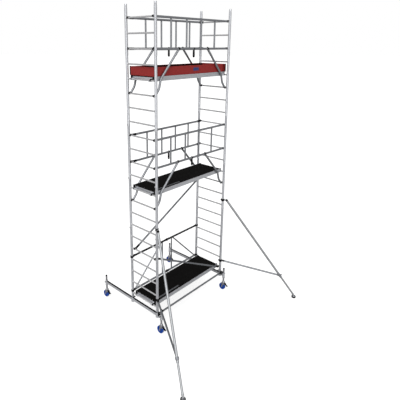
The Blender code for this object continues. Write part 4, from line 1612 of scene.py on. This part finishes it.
        for outline, height in (
            (hole, z - 0.0035), (hole, z + 0.001), (offset_in(frame_ring, 0.0015), z + 0.001),
            (frame_ring, z - 0.0002), (frame_ring, z - 0.0035)
        ):
            rings.append([Vector((mid + a, edge_y + b, height)) for a, b in outline])
        pull.loft(rings, loop=True)
        pull.slab(
            (mid - 0.034, edge_y - 0.009, z - 0.0085), (mid + 0.034, edge_y + 0.009, z - 0.003), 0.004,
            0.0005
        )
        pull.piece(f"{node}_pull", BLACK_PLASTIC, body)


# --- toe boards
@dataclass
class ToeBoards:
    """Four red boards round the upper deck, with black end fittings and one plain blue plate.

    Attributes:
        grid: the shared places.
        high: the boards' height.
        thick: their thickness.
        inset: end boards' distance inside the end frames.
        offset: long boards' centres, from the uprights' centres.
    """

    grid: Grid
    high: float = 0.15
    thick: float = 0.018
    inset: float = 0.04
    offset: float = 0.084

    def build(self) -> None:
        """Build the boards and their fittings."""
        low = self.grid.rung(LEVELS[-1][1]) + 0.0625
        top = low + self.high
        half = self.thick / 2
        end_x = self.grid.half - self.inset
        fittings = Shape()
        for side, sign in SIDES:
            x = sign * end_x
            ya = self.grid.front + UPRIGHT + 0.008
            yb = self.grid.rear - UPRIGHT - 0.008
            board = Shape()
            place = section_across(x, ya, low)
            board.prism(self.section(half, top - low), place, yb - ya)
            board.piece(f"{side}_toe_board", RED_PAINT, "tower", (f"{side}_toe_board",), Grain.ALONG_Y)
            for y, way in ((ya, 1), (yb, -1)):
                span = sorted((y - way * 0.0012, y + way * 0.02))
                fittings.slab(
                    (x - half - 0.0016, span[0], low + 0.004), (x + half + 0.0016, span[1], top + 0.0018),
                    0.002, 0.0012
                )
        reach = end_x - half - 0.0005
        for face, y0, inward in (("front", self.grid.front, 1), ("rear", self.grid.rear, -1)):
            y = y0 + inward * self.offset
            board = Shape()
            place = section_along(-reach, y, low)
            board.prism(self.section(half, top - low), place, 2 * reach)
            board.piece(f"{face}_toe_board", RED_PAINT, "tower", (f"{face}_toe_board",), Grain.ALONG_X)
            if face == "rear":
                # Thin near-black sheet on the rear board's inner face: painted shade where that face lies in
                # shadow.
                shade_sheet = Shape()
                shade_sheet.slab(
                    (-reach + 0.02, y - half - 0.0006, low + 0.003),
                    (reach - 0.02, y - half + 0.001, top - 0.004), 0.0004, 0.0002
                )
                shade_sheet.piece("rear_toe_board_lining", BOARD_SHADE, "tower", (), Grain.ALONG_X)
            for sign in (-1, 1):
                span = sorted((sign * (reach + 0.0002), sign * (reach - 0.016)))
                fittings.slab(
                    (span[0], y - half - 0.0015, low + 0.004), (span[1], y + half + 0.0015, top + 0.0016),
                    0.002, 0.0012
                )
        fittings.piece("toe_board_fittings", BLACK_PLASTIC, "tower")
        self.plate(low, half)

    def section(self, half: float, high: float) -> Outline:
        """Section of a board: round top edge and a shallow groove near top and bottom.

        Args:
            half: half of its thickness.
            high: its height.

        Returns:
            Its points, as (thickness, height).
        """
        right = [
            (half - 0.002, 0), (half, 0.002), (half, 0.016), (half - 0.0012, 0.0172),
            (half - 0.0012, 0.0198), (half, 0.021)
        ]
        right += [
            (half, high - 0.021), (half - 0.0012, high - 0.0198), (half - 0.0012, high - 0.0172),
            (half, high - 0.016)
        ]
        right += [(half, high - 0.005), (half - 0.0015, high - 0.0015), (half - 0.005, high)]
        return [*right, *[(-a, b) for a, b in reversed(right)]]

    def plate(self, low: float, half: float) -> None:
        """Build the plain blue plate on the front board's outer face.

        Args:
            low: the boards' lower edge.
            half: half of their thickness.
        """
        y = self.grid.front + self.offset - half
        made = Shape()
        place = section_across(0.108, y - 0.0009, low + 0.082)
        made.prism(rounded(0.15, 0.058, 0.006), place, 0.0012, 0.0003)
        made.piece("front_toe_board_plate", PLATE_BLUE, "tower")


# --- guardrails
@dataclass
class Guardrail:
    """A guardrail that hooks onto six rungs, with the lever on its middle rail.

    Attributes:
        grid: the shared places.
        label: the platform that it guards.
        face: front or rear.
        index: the rung that carries that platform.
        radius: rails' radius.
        post: posts' radius.
        offset: the rails' distance inwards from the uprights' centres.
        spacing: from one post to the next.
        grip: the lever's sections, as drop below the rail's centre, half width and half depth.
    """

    grid: Grid
    label: str
    face: str
    index: int
    radius: float = 0.0195
    post: float = 0.0155
    offset: float = 0.047
    spacing: float = 0.39
    grip: tuple[Point, ...] = (
        (0.02, 0.015, 0.012), (0.034, 0.0175, 0.0122), (0.06, 0.0186, 0.0128), (0.11, 0.0192, 0.0132),
        (0.138, 0.0192, 0.0132), (0.145, 0.0165, 0.0105), (0.148, 0.012, 0.007),
    )

    def build(self) -> None:
        """Build rails, posts, legs, claws, caps and the lever."""
        inward = 1 if self.face == "front" else -1
        y = (self.grid.front if self.face == "front" else self.grid.rear) + inward * self.offset
        name = f"{self.label}_{self.face}_guardrail"
        top, middle, foot = (self.grid.rung(self.index + i) for i in (4, 2, -1))
        end = self.grid.half - 0.034
        tubes = Shape()
        for z in (top, middle):
            tubes.take(bent([(-end, y, z), (end, y, z)], self.radius, 0.01, 24))
        posts = [(k * self.spacing, y) for k in (-1.5, -0.5, 0.5, 1.5)]
        for x, _ in posts:
            tubes.pipe((x, y, middle), (x, y, top), self.post, 0, 20)
            for z, way in ((top - self.radius, -1), (middle + self.radius, 1)):
                bead = weld_bead(self.post, 0.003)
                mesh = bead.mesh("bead")
                mesh.transform(aim((x, y, z - way * 0.0015), (x, y, z + way)))
                tubes.take(mesh)
        claws = Shape()
        claw = Claw()
        for sign in (-1, 1):
            legs = [
                (sign * 0.39, y, middle), (sign * 0.83, y, middle - 0.48), (sign * 0.872, y, middle - 0.64),
                (sign * (self.grid.half - 0.038), y, foot + 0.012)
            ]
            tubes.take(bent(legs, self.radius, 0.1, 24))
            for z in (top, middle):
                claw.add(claws, (sign * self.grid.half, y, z), sign)
                at = sign * (self.grid.half - claw.reach + 0.002)
                if self.face == "rear":
                    claw.collar(claws, (at, y, z), (0, y, z), self.radius)
            claw.add(claws, (sign * self.grid.half, y, foot), sign)
            self.cap(claws, sign * 0.39, y, middle)
        tubes.piece(name, RAIL_METAL, "tower", (name,), Grain.ALONG_X)
        claws.piece(f"{name}_claws", BLACK_PLASTIC, "tower")
        spots = [
            ((sign * (self.grid.half - 0.033), y + way * claw.half, z + 0.004), (0, way, 0))
            for sign in (-1, 1) for z in (top, middle, foot) for way in (-1, 1)
        ]
        fasteners(f"{name}_rivets", "tower", RUNG_METAL, rivet_head(), spots, 0.0042)
        self.lever(name, y, middle)

    def cap(self, shape: Shape, x: float, y: float, z: float) -> None:
        """Add the black clamp where a leg leaves the middle rail.

        Args:
            shape: the piece to add to.
            x: its place along the rail.
            y: the rail's plane.
            z: the rail's height.
        """
        length = 0.034
        shape.band((x - length / 2, y, z), (x + 1, y, z), self.radius, 0.0035, length, 24, 0.0012)
        low = z + self.radius
        shape.slab((x - 0.011, y - 0.009, low), (x + 0.011, y + 0.009, low + 0.012), 0.004, 0.003)

    def lever(self, name: str, y: float, z: float) -> None:
        """Build the hanging lever: collar, waisted handle and grip ribs.

        Args:
            name: the guardrail's name.
            y: the rail's plane.
            z: the middle rail's height.
        """
        made = Shape()
        inner = self.radius + 0.0008
        made.lathe(
            [
                (inner, 0), (inner + 0.0042, 0.001), (inner + 0.005, 0.004), (inner + 0.005, 0.016),
                (inner + 0.0042, 0.019), (inner, 0.02)
            ],
            aim((-0.01, y, z), (1, y, z)), 28, loop=True
        )
        rings = []
        for drop, half_x, half_y in self.grip:
            rings.append([
                Vector((a, y + b, z - drop)) for a,
                b in rounded(2 * half_x, 2 * half_y, min(half_x, half_y) * 0.7, 4)
            ])
        made.loft(rings)
        rib = Shape()
        rib.slab((-0.015, -0.014, -0.0014), (0.015, 0.014, 0.0014), 0.003, 0.0006)
        made.take(repeat(rib, 8, (0, y, z - 0.13), (0, 0, 0.0085), BLACK_PLASTIC))
        made.piece(f"{name}_lever", BLACK_PLASTIC, f"{name}_lever", (f"{name}_lever",))


# --- braces
@dataclass
class Brace:
    """Straight brace clawed onto a rung at each end.

    Attributes:
        grid: the shared places.
        name: the frame's name for it.
        y: its plane.
        left: rung at its left end.
        right: rung at its right end.
        radius: its radius.
    """

    grid: Grid
    name: str
    y: float
    left: int
    right: int
    radius: float = 0.0175

    def build(self) -> None:
        """Build the tube with flattened ends and its claws."""
        claw = Claw(reach=0.046)
        tube = Shape()
        claws = Shape()
        ends = []
        for sign, index in ((-1, self.left), (1, self.right)):
            z = self.grid.rung(index)
            ends.append(Vector((sign * (self.grid.half - 0.036), self.y, z + 0.006)))
            claw.add(claws, (sign * self.grid.half, self.y, z), sign)
        tube.pipe(ends[0], ends[1], self.radius, self.radius - 0.002, 24)
        way = (ends[1] - ends[0]).normalized()
        for start, step in ((ends[0], way), (ends[1], -way)):
            claw.collar(claws, start + step * 0.006, start + step, self.radius)
        tube.piece(self.name, STRUT_METAL, "tower", (self.name,), Grain.ALONG_X)
        claws.piece(f"{self.name}_claws", BLACK_PLASTIC, "tower")
        spots = [
            (tuple(start + step * 0.018 + Vector((0, side * (self.radius + 0.0028), 0))), (0, side, 0))
            for start, step in ((ends[0], way), (ends[1], -way)) for side in (-1, 1)
        ]
        fasteners(f"{self.name}_rivets", "tower", RUNG_METAL, rivet_head(), spots, 0.0045)


@dataclass
class BaseBrace:
    """Level brace clawed over both traverses, just ahead of the front uprights.

    Attributes:
        grid: the shared places.
        z: height of the tube.
        ahead: its distance ahead of the front uprights.
        radius: the tube's radius.
    """

    grid: Grid
    z: float = 0.42
    ahead: float = 0.052
    radius: float = 0.0175

    def build(self) -> None:
        """Build the tube and its two saddles."""
        y = self.grid.front - self.ahead
        tube = Shape()
        end = self.grid.half + 0.014
        tube.pipe((-end, y, self.z), (end, y, self.z), self.radius, self.radius - 0.002, 24)
        tube.piece("base_brace", STRUT_METAL, "tower", ("base_brace",), Grain.ALONG_X)
        saddles = Shape()
        inner, outer, top = 0.0206, 0.0283, 0.393
        for sign in (-1, 1):
            x = sign * self.grid.half
            outline = [
                (-outer, top - 0.024), (-inner, top - 0.024), (-inner, top), (inner, top),
                (inner, top - 0.024), (outer, top - 0.024), (outer, self.z - 0.004)
            ]
            outline += [(a, b) for a, b in arc((0, self.z), 0.0215, 8, 172, 10)]
            outline += [(-outer, self.z - 0.004)]
            place = section_across(x, y - 0.0135, 0)
            saddles.prism(outline, place, 0.027, 0.0012)
            low = sorted((x - sign * 0.03, x - sign * 0.11))
            saddles.band((low[0], y, self.z), (low[1], y, self.z), self.radius, 0.0025, 0.07, 20)
        saddles.piece("base_brace_saddles", BLACK_PLASTIC, "tower")


# --- gate
@dataclass
class GateHalf:
    """Half of the folding gate at the rear of the base.

    Attributes:
        grid: the shared places.
        side: left or right.
        sign: -1 for left, +1 for right.
        top: height of the top rail.
        low: height of the lower rail.
        radius: rails' radius.
        bar: bars' radius.
        post_x: the upright bar's distance from the middle.
        diagonal: the sloping bar's distances from the middle, at its top and its foot.
    """

    grid: Grid
    side: str
    sign: int
    top: float = 1.32
    low: float = 0.5625
    radius: float = 0.0195
    bar: float = 0.014
    post_x: float = 0.14
    diagonal: tuple[float, float] = (0.17, 0.925)

    def build(self) -> None:
        """Build the rails, bars, sleeves and the centre hinge."""
        y = self.grid.rear
        s = self.sign
        start = self.grid.half - UPRIGHT - 0.003
        node = f"{self.side}_gate"
        tubes = Shape()
        tubes.pipe((s * start, y, self.low), (s * 0.014, y, self.low), self.radius, 0, 24)
        for top_x, low_x in ((self.post_x, self.post_x), self.diagonal):
            tubes.take(bent(
                [(s * top_x, y, self.top - 0.004), (s * low_x, y, self.low + 0.004)], self.bar, 0.01, 20
            ))
        tubes.piece(node, RAIL_METAL, "tower", (node,), Grain.ALONG_Z)
        # The top rail is drawn near black: painted dark reflection on rail aluminium.
        dark = Shape()
        dark.pipe((s * start, y, self.top), (s * 0.014, y, self.top), self.radius, 0, 24)
        dark.piece(f"{node}_top_rail", DARK_REFLECTION_RAIL, "tower", (), Grain.ALONG_X)
        fittings = Shape()
        for z in (self.top, self.low):
            self.sleeve(fittings, z)
            self.knuckle(fittings, z)
        fittings.piece(f"{node}_fittings", BLACK_PLASTIC, "tower")
        spots = [
            ((0, y, z + way * (self.radius * 1.4 + 0.0002)), (0, 0, way)) for z in (self.top, self.low)
            for way in (-1, 1)
        ] if s < 0 else []
        spots += [
            ((s * (self.grid.half - 0.046), y + way * (self.radius + 0.003), z), (0, way, 0))
            for z in (self.top, self.low) for way in (-1, 1)
        ]
        fasteners(f"{node}_bolts", "tower", BOLT_STEEL, bolt_head(), spots, 0.0055)

    def sleeve(self, shape: Shape, z: float) -> None:
        """Add the ring that turns on the upright, and the socket that holds the rail.

        Args:
            shape: the piece to add to.
            z: the rail's height.
        """
        x, y = self.sign * self.grid.half, self.grid.rear
        inner = UPRIGHT + 0.0008
        outer = inner + 0.006
        half = 0.02
        rim = [
            (inner, -half), (outer - 0.0015, -half), (outer, -half + 0.002), (outer, half - 0.002),
            (outer - 0.0015, half), (inner, half)
        ]
        shape.lathe(rim, Matrix.Translation((x, y, z)), 32, loop=True)
        r = self.radius
        start = (x - self.sign * (UPRIGHT + 0.005), y, z)
        shape.lathe(
            [(r + 0.0003, 0), (r + 0.0048, 0), (r + 0.003, 0.012), (r + 0.003, 0.05), (r + 0.0003, 0.052)],
            aim(start, (0, y, z)), 24, loop=True
        )

    def knuckle(self, shape: Shape, z: float) -> None:
        """Add this half's part of the centre hinge.

        Args:
            shape: the piece to add to.
            z: the rail's height.
        """
        y = self.grid.rear
        slot = self.radius * 0.36
        tall = self.radius * 1.4
        spans = ((-tall, -slot), (slot, tall)) if self.sign < 0 else ((-slot + 0.0004, slot - 0.0004),)
        for low, high in spans:
            shape.pipe(
                (0, y, z + low), (0, y, z + high), 0.0162, 0.0078 if self.sign > 0 else 0.0, 24, 0.0012
            )
        if self.sign < 0:
            shape.pipe((0, y, z - slot - 0.001), (0, y, z + slot + 0.001), 0.007, 0, 18, 0.0001)
        shape.band((self.sign * 0.019, y, z), (self.sign, y, z), self.radius, 0.0028, 0.035, 20)


# --- stabilisers
@dataclass
class Stabiliser:
    """Telescopic stabiliser: clamped tube and strut, extension and tilting foot.

    Attributes:
        grid: the shared places.
        side: left or right.
        sign: -1 for left, +1 for right.
        lean: degrees outwards from straight ahead.
        top: distance from the upright's centre, and height, of the tube's top.
        foot: the same of the foot's pivot.
        length: the outer tube's length.
        radius: the outer tube's radius.
        strut: the strut's radius.
        clamp_low: height of the lower clamp.
        strut_end: the strut's joint above the outer tube's end.
    """

    grid: Grid
    side: str
    sign: int
    lean: float = 30.6
    top: tuple[float, float] = (0.078, 2.14)
    foot: tuple[float, float] = (1.628, 0.05)
    length: float = 2.11
    radius: float = 0.0225
    strut: float = 0.0175
    clamp_low: float = 0.69
    strut_end: float = 0.06

    def __post_init__(self) -> None:
        """Work out the directions in the upright plane that it leans out in."""
        angle = math.radians(self.lean)
        self.out = Vector((self.sign * math.sin(angle), -math.cos(angle), 0))
        self.across = self.out.cross(Vector((0, 0, 1)))
        self.head = self.at(*self.top)
        self.pivot = self.at(*self.foot)
        self.slope = (self.pivot - self.head).normalized()

    def at(self, distance: float, height: float) -> Vector:
        """Point at a distance out from the upright's centre, at a height."""
        return Vector((self.sign * self.grid.half, self.grid.front, height)) + self.out * distance

    def down(self, length: float) -> Vector:
        """Point on the tube's axis, measured down from its top."""
        return self.head + self.slope * length

    def both_sides(self, centre: Vector, away: float) -> list[tuple[Point, Point]]:
        """Places and directions for bolts at a distance on either side of a joint."""
        return [(tuple(centre + self.across * way * away), tuple(self.across * way)) for way in (-1, 1)]

    def build(self) -> None:
        """Build both tubes, the strut, the clamps and the foot."""
        self.tube()
        self.struts()
        self.extension()
        self.pad()

    def clamp(self, shape: Shape, bolts: list[tuple[Point, Point]], height: float) -> None:
        """Add a hinged clamp round the upright, with a wing nut on its far side.

        Args:
            shape: the piece to add to.
            bolts: places for the clamp's bolts.
            height: height of its centre.
        """
        inner = UPRIGHT + 0.0009
        outer = inner + 0.006
        half = 0.025
        spot = Matrix.Translation(self.at(0, height))
        rim = [
            (inner, -half), (outer - 0.001, -half), (outer + 0.0004, -half + 0.003),
            (outer + 0.0004, -0.012), (outer - 0.0014, -0.01)
        ]
        rim += [
            (outer - 0.0014, 0.01), (outer + 0.0004, 0.012), (outer + 0.0004, half - 0.003),
            (outer - 0.001, half), (inner, half)
        ]
        shape.lathe(rim, spot, 32, loop=True)
        place = Matrix.Translation(self.at(0, height)) @ Matrix((
            (self.out.x, self.across.x, 0, 0), (self.out.y, self.across.y, 0, 0), (0, 0, 1, 0), (0, 0, 0, 1)))
        lug = [
            (inner + 0.001, -0.01), (inner + 0.02, -0.008), (inner + 0.024, 0), (inner + 0.02, 0.008),
            (inner + 0.001, 0.01)
        ]
        for z in (-0.017, 0.005):
            shape.prism(lug, place @ Matrix.Translation((0, 0, z)), 0.012, 0.001)
        ear = [
            (-inner - 0.001, -0.0115), (-inner - 0.019, -0.0115), (-inner - 0.019, -0.0035),
            (-inner - 0.001, -0.0035)
        ]
        twin = [(a, -b) for a, b in ear]
        for outline in (ear, twin):
            shape.prism(outline, place @ Matrix.Translation((0, 0, -0.016)), 0.032, 0.001)
        middle = self.at(-inner - 0.012, height)
        bolts.append((tuple(middle + self.across * 0.0115), tuple(self.across)))
        shape.pipe(middle - self.across * 0.02, middle + self.across * 0.012, 0.004, 0, 14)
        knob = middle - self.across * 0.013
        shape.lathe(
            [(0, 0), (0.01, 0), (0.0125, 0.003), (0.0125, 0.01), (0.009, 0.014), (0, 0.015)],
            aim(knob, knob - self.across), 18
        )

    def tube(self) -> None:
        """Build the outer tube, its upper clamp, arm and end collar."""
        body = f"{self.side}_stabiliser"
        node = f"{self.side}_stabiliser_tube"
        start, end = self.down(-0.01), self.down(self.length)
        place = aim(start, end)
        length = (end - start).length
        tube = Shape()
        outline = []
        count = 36
        for i in range(count):
            angle = 2 * math.pi * i / count
            groove = 0.0012 if i % 9 == 0 else 0.0
            outline.append((
                (self.radius - groove) * math.cos(angle), (self.radius - groove) * math.sin(angle)
            ))
        bore = [
            (0.0197 * math.cos(2 * math.pi * i / count), 0.0197 * math.sin(2 * math.pi * i / count))
            for i in range(count)
        ]
        rings = [(bore, 0.02), (bore, length), (outline, length), (outline, 0)]
        made = [[place @ Vector((a, b, z)) for a, b in ring] for ring, z in rings]
        made.append([place @ Vector((0, 0, 0.0))])
        tube.loft([[place @ Vector((0, 0, 0.02))], *made])
        arm = self.at(UPRIGHT + 0.012, self.top[1])
        tube.pipe(arm, self.head, self.strut, 0, 20)
        collar = [
            (0.0193, 0.032), (0.0228, 0.032), (0.024, 0.03), (0.024, 0.004), (0.0228, 0), (0.0226, 0),
            (0.0226, 0.03), (0.0193, 0.03)
        ]
        tube.lathe(collar, aim(self.down(self.length - 0.03), self.down(self.length + 1)), 28, loop=True)
        tube.piece(node, TUBE_METAL, body, (node,), Grain.ALONG_Z)
        black = Shape()
        bolts = []
        self.clamp(black, bolts, self.top[1])
        black.lathe(
            [(0, 0), (0.018, 0), (0.0235, 0.003), (0.024, 0.012), (0.024, 0.04), (0.0226, 0.042)],
            aim(self.down(-0.014), self.down(1)), 28
        )
        black.piece(f"{node}_fittings", BLACK_PLASTIC, body)
        elbow = self.head
        bolts += self.both_sides(elbow, 0.0236)
        fasteners(f"{node}_bolts", body, BOLT_STEEL, bolt_head(), bolts, 0.0058)

    def struts(self) -> None:
        """Build the lower clamp, the strut and the hoop round the tube."""
        body = f"{self.side}_stabiliser"
        node = f"{self.side}_stabiliser_strut"
        joint = self.down(self.length - self.strut_end)
        bar = Shape()
        start = self.at(UPRIGHT + 0.012, self.clamp_low)
        bar.pipe(start, joint - (joint - start).normalized() * 0.026, self.strut, 0, 24)
        inner, outer, half = 0.0241, 0.03, 0.025
        rim = [
            (inner, -half), (outer - 0.001, -half), (outer, -half + 0.002), (outer, -0.008),
            (outer - 0.0014, -0.006)
        ]
        hoop = [*rim, *[(a, -b) for a, b in reversed(rim)]]
        bar.lathe(hoop, aim(joint, joint + self.slope), 32, loop=True)
        black = Shape()
        bolts = []
        self.clamp(black, bolts, self.clamp_low)
        back = (start - joint).normalized()
        r = self.strut
        black.lathe(
            [(r + 0.0003, 0), (r + 0.0034, 0), (r + 0.0026, 0.004), (r + 0.0026, 0.018), (r + 0.0003, 0.02)],
            aim(joint + back * 0.027, start), 22, loop=True
        )
        black.lathe(
            [
                (r + 0.0003, 0), (r + 0.0036, 0), (r + 0.0026, 0.006), (r + 0.0026, 0.044),
                (r + 0.0003, 0.046)
            ],
            aim(start + (-back) * 0.002, joint), 22, loop=True
        )
        up = self.slope.cross(self.across).normalized()
        up = up if up.z > 0 else -up
        knob = [
            (0, 0), (0.008, 0), (0.008, 0.006), (0.0125, 0.008), (0.0135, 0.012), (0.0125, 0.02), (0, 0.022)
        ]
        bar.lathe(knob, aim(joint + up * 0.0292, joint + up), 18)
        bar.piece(node, STRUT_METAL, body, (node,), Grain.ALONG_Z)
        black.piece(f"{node}_fittings", BLACK_PLASTIC, body)
        bolts += self.both_sides(joint, outer)
        fasteners(f"{node}_bolts", body, BOLT_STEEL, bolt_head(), bolts, 0.0052)

    def extension(self) -> None:
        """Build the inner tube with its row of holes, end collar and eye."""
        body = f"{self.side}_stabiliser_extension"
        start = self.down(self.length - 0.448)
        end = self.pivot - self.slope * 0.03
        tube = Shape()
        tube.pipe(start, end, 0.0189, 0.0164, 28)
        tube.pipe(end - self.slope * 0.01, self.pivot - self.slope * 0.008, 0.0098, 0, 20)
        tube.lathe(
            [
                (0.006, -0.0098), (0.0125, -0.0098), (0.0138, -0.008), (0.0138, 0.008), (0.0125, 0.0098),
                (0.006, 0.0098)
            ],
            aim(self.pivot, self.pivot + self.across), 24, loop=True
        )
        tube.lathe(
            [
                (0.0191, 0), (0.0222, 0.001), (0.0228, 0.01), (0.0215, 0.022), (0.013, 0.026),
                (0.0101, 0.026), (0.0101, 0.018), (0.0191, 0.017)
            ],
            aim(end - self.slope * 0.018, end + self.slope), 28, loop=True
        )
        tube.piece(body, TUBE_METAL, body, (body,), Grain.ALONG_Z)
        span = (end - self.down(self.length + 0.02)).length
        spots = []
        for i in range(5):
            centre = end - self.slope * (0.045 + i * span / 6)
            spots += self.both_sides(centre, 0.0183)
        fasteners(f"{body}_holes", body, BOLT_STEEL, hole_rim(12), spots, 0.0046)

    def pad(self) -> None:
        """Build the rubber foot with its tread rings, steel yoke and pin."""
        body = f"{self.side}_stabiliser_foot"
        spot = Matrix.Translation((self.pivot.x, self.pivot.y, 0))
        pad = Shape()
        profile = [
            (0, 0), (0.014, 0), (0.015, 0.002), (0.018, 0.002), (0.019, 0), (0.029, 0), (0.03, 0.002),
            (0.033, 0.002), (0.034, 0)
        ]
        profile += [
            (0.0425, 0), (0.045, 0.0025), (0.045, 0.0225), (0.0436, 0.029), (0.0405, 0.033),
            (0.0375, 0.0335), (0.035, 0.031), (0.031, 0.0225), (0.025, 0.0212), (0, 0.0212)
        ]
        pad.lathe(profile, spot, 40)
        pad.piece(body, RUBBER, body, (body,))
        yoke = Shape()
        yoke.lathe([(0, 0.0205), (0.027, 0.0205), (0.03, 0.0226), (0.0285, 0.0256), (0, 0.0262)], spot, 28)
        for way in (-1, 1):
            near = self.pivot + self.across * way * 0.0112
            place = Matrix((
                (
                    self.out.x, 0, self.across.x * way, near.x
                ), (self.out.y, 0, self.across.y * way, near.y), (0, 1, 0, 0), (0, 0, 0, 1)))
            ear = [(-0.019, 0.0245), (0.019, 0.0245), *arc((0, 0.05), 0.0129, -12, 192, 12)]
            yoke.prism(ear, place, 0.0042, 0.0006)
        step = self.across * 0.0165
        yoke.pipe(self.pivot - step, self.pivot + step, 0.0049, 0, 18)
        yoke.piece(f"{body}_yoke", ALUMINIUM, body)
        spots = self.both_sides(self.pivot, 0.0158)
        fasteners(f"{body}_bolts", body, BOLT_STEEL, bolt_head(), spots, 0.0062)


# --- surroundings
@dataclass
class Studio:
    """Plain pale floor, soft lights and the camera.

    Attributes:
        eye: the camera's place.
        right: its right.
        up: its up.
        ahead: the way it looks.
        lens: its focal length, in millimetres.
        shift: how far its frame is shifted, in frame widths.
        floor_radii: rings of the floor.
        floor_sides: facets round it.
        floor_tone: grey of the floor.
        floor_glow: light that the camera sees on it.
        bright_side: the brightest part of the sky.
        sky: dimmest and brightest strength of the sky.
        sun: strength of the sun.
        sun_spread: its width, in degrees.
        sun_side: where it stands.
    """

    eye: Point = (-5.56347, -4.782, 5.33999)
    right: Point = (0.688801, -0.724945, 0.002816)
    up: Point = (0.189979, 0.184254, 0.964343)
    ahead: Point = (0.699614, 0.663706, -0.264639)
    lens: float = 35.8464
    shift: tuple[float, float] = (0.073616, -0.115195)
    floor_radii: tuple[float, ...] = (6, 60, 400)
    floor_sides: int = 64
    floor_tone: float = 0.5
    floor_glow: float = 0.72
    bright_side: Point = (-0.75, -0.6, 0.35)
    sky: tuple[float, float] = (0.16, 1.05)
    sun: float = 1.4
    sun_spread: float = 50.0
    sun_side: Point = (-0.8, -0.48, 0.75)

    def build(self) -> None:
        """Build all of it."""
        self.floor()
        self.lights()
        self.camera()

    def floor(self) -> None:
        """Build the wide pale floor."""
        below = -0.001
        points = [Vector((0, 0, below))]
        faces = []
        count = self.floor_sides
        for ring, radius in enumerate(self.floor_radii):
            angles = [2 * math.pi * i / count for i in range(count)]
            points += [Vector((radius * math.cos(a), radius * math.sin(a), below)) for a in angles]
            first = 1 + ring * count
            for i in range(count):
                j = (i + 1) % count
                inner = (0,) if ring == 0 else (first - count + j, first - count + i)
                faces.append((*inner, first + i, first + j))
        mesh = bpy.data.meshes.new("floor")
        mesh.from_pydata(points, [], faces)
        item = bpy.data.objects.new("floor", mesh)
        bpy.context.scene.collection.objects.link(item)
        pale = bpy.data.materials.new("pale_floor")
        pale.use_nodes = True
        shader = pale.node_tree.nodes["Principled BSDF"]
        shader.inputs["Base Color"].default_value = (*(self.floor_tone,) * 3, 1)
        shader.inputs["Roughness"].default_value = 0.95
        shader.inputs["Specular IOR Level"].default_value = 0.1
        shader.inputs["Emission Color"].default_value = (1.0, 1.0, 1.0, 1)
        seen = pale.node_tree.nodes.new("ShaderNodeLightPath")
        glow = pale.node_tree.nodes.new("ShaderNodeMath")
        glow.operation = "MULTIPLY"
        glow.inputs[1].default_value = self.floor_glow
        pale.node_tree.links.new(seen.outputs["Is Camera Ray"], glow.inputs[0])
        pale.node_tree.links.new(glow.outputs[0], shader.inputs["Emission Strength"])
        mesh.materials.append(pale)

    def lights(self) -> None:
        """Set the soft sky, brighter behind the camera, and one wide soft sun."""
        world = bpy.data.worlds.new("studio")
        bpy.context.scene.world = world
        world.use_nodes = True
        tree = world.node_tree
        sky = tree.nodes["Background"]
        sky.inputs["Color"].default_value = (1.0, 1.0, 1.0, 1)
        way = tree.nodes.new("ShaderNodeTexCoord")
        facing = tree.nodes.new("ShaderNodeVectorMath")
        facing.operation = "DOT_PRODUCT"
        facing.inputs[1].default_value = Vector(self.bright_side).normalized()
        tree.links.new(way.outputs["Generated"], facing.inputs[0])
        tone = tree.nodes.new("ShaderNodeMapRange")
        tone.interpolation_type = "SMOOTHSTEP"
        tone.inputs["From Min"].default_value = -0.7
        tone.inputs["From Max"].default_value = 0.9
        tone.inputs["To Min"].default_value = self.sky[0]
        tone.inputs["To Max"].default_value = self.sky[1]
        tree.links.new(facing.outputs["Value"], tone.inputs["Value"])
        seen = tree.nodes.new("ShaderNodeLightPath")
        pick = tree.nodes.new("ShaderNodeMix")
        pick.inputs["B"].default_value = 1.0
        tree.links.new(seen.outputs["Is Camera Ray"], pick.inputs["Factor"])
        tree.links.new(tone.outputs[0], pick.inputs["A"])
        tree.links.new(pick.outputs["Result"], sky.inputs["Strength"])
        data = bpy.data.lights.new("sun", "SUN")
        data.energy = self.sun
        data.angle = math.radians(self.sun_spread)
        item = bpy.data.objects.new("sun", data)
        item.matrix_world = aim((0, 0, 12), Vector((0, 0, 12)) + Vector(self.sun_side))
        bpy.context.scene.collection.objects.link(item)

    def camera(self) -> None:
        """Set the camera at its measured place."""
        data = bpy.data.cameras.new("camera")
        data.sensor_width = 36
        data.lens = self.lens
        data.shift_x, data.shift_y = self.shift
        data.clip_end = 200
        item = bpy.data.objects.new("camera", data)
        columns = [Vector(self.right), Vector(self.up), -Vector(self.ahead)]
        item.matrix_world = Matrix.Translation(self.eye) @ Matrix(columns).transposed().to_4x4()
        bpy.context.scene.collection.objects.link(item)
        bpy.context.scene.camera = item


def main() -> None:
    """Build every piece in order."""
    logging.basicConfig(level=logging.INFO, format="%(message)s")
    places = grid()
    for side, sign in SIDES:
        EndLadder(places, side, sign).build()
        beam = Traverse(places, side, sign)
        beam.build()
        for face, y in (("front", places.front - beam.ahead), ("rear", places.front + beam.behind)):
            Castor(f"{face}_{side}_castor", sign * places.half, y).build()
        GateHalf(places, side, sign).build()
        Stabiliser(places, side, sign).build()
    for label, index in LEVELS:
        Platform(places, label, index).build()
    for label, index in LEVELS[1:]:
        for face in ("front", "rear"):
            Guardrail(places, label, face, index).build()
    ToeBoards(places).build()
    Brace(places, "rear_diagonal_brace", places.rear - 0.09, 4, 8).build()
    Brace(places, "front_diagonal_brace", places.front + 0.047, 4, 0).build()
    BaseBrace(places).build()
    Studio().build()
    bpy.context.scene.view_settings.view_transform = "Standard"


if __name__ == "__main__":
    main()
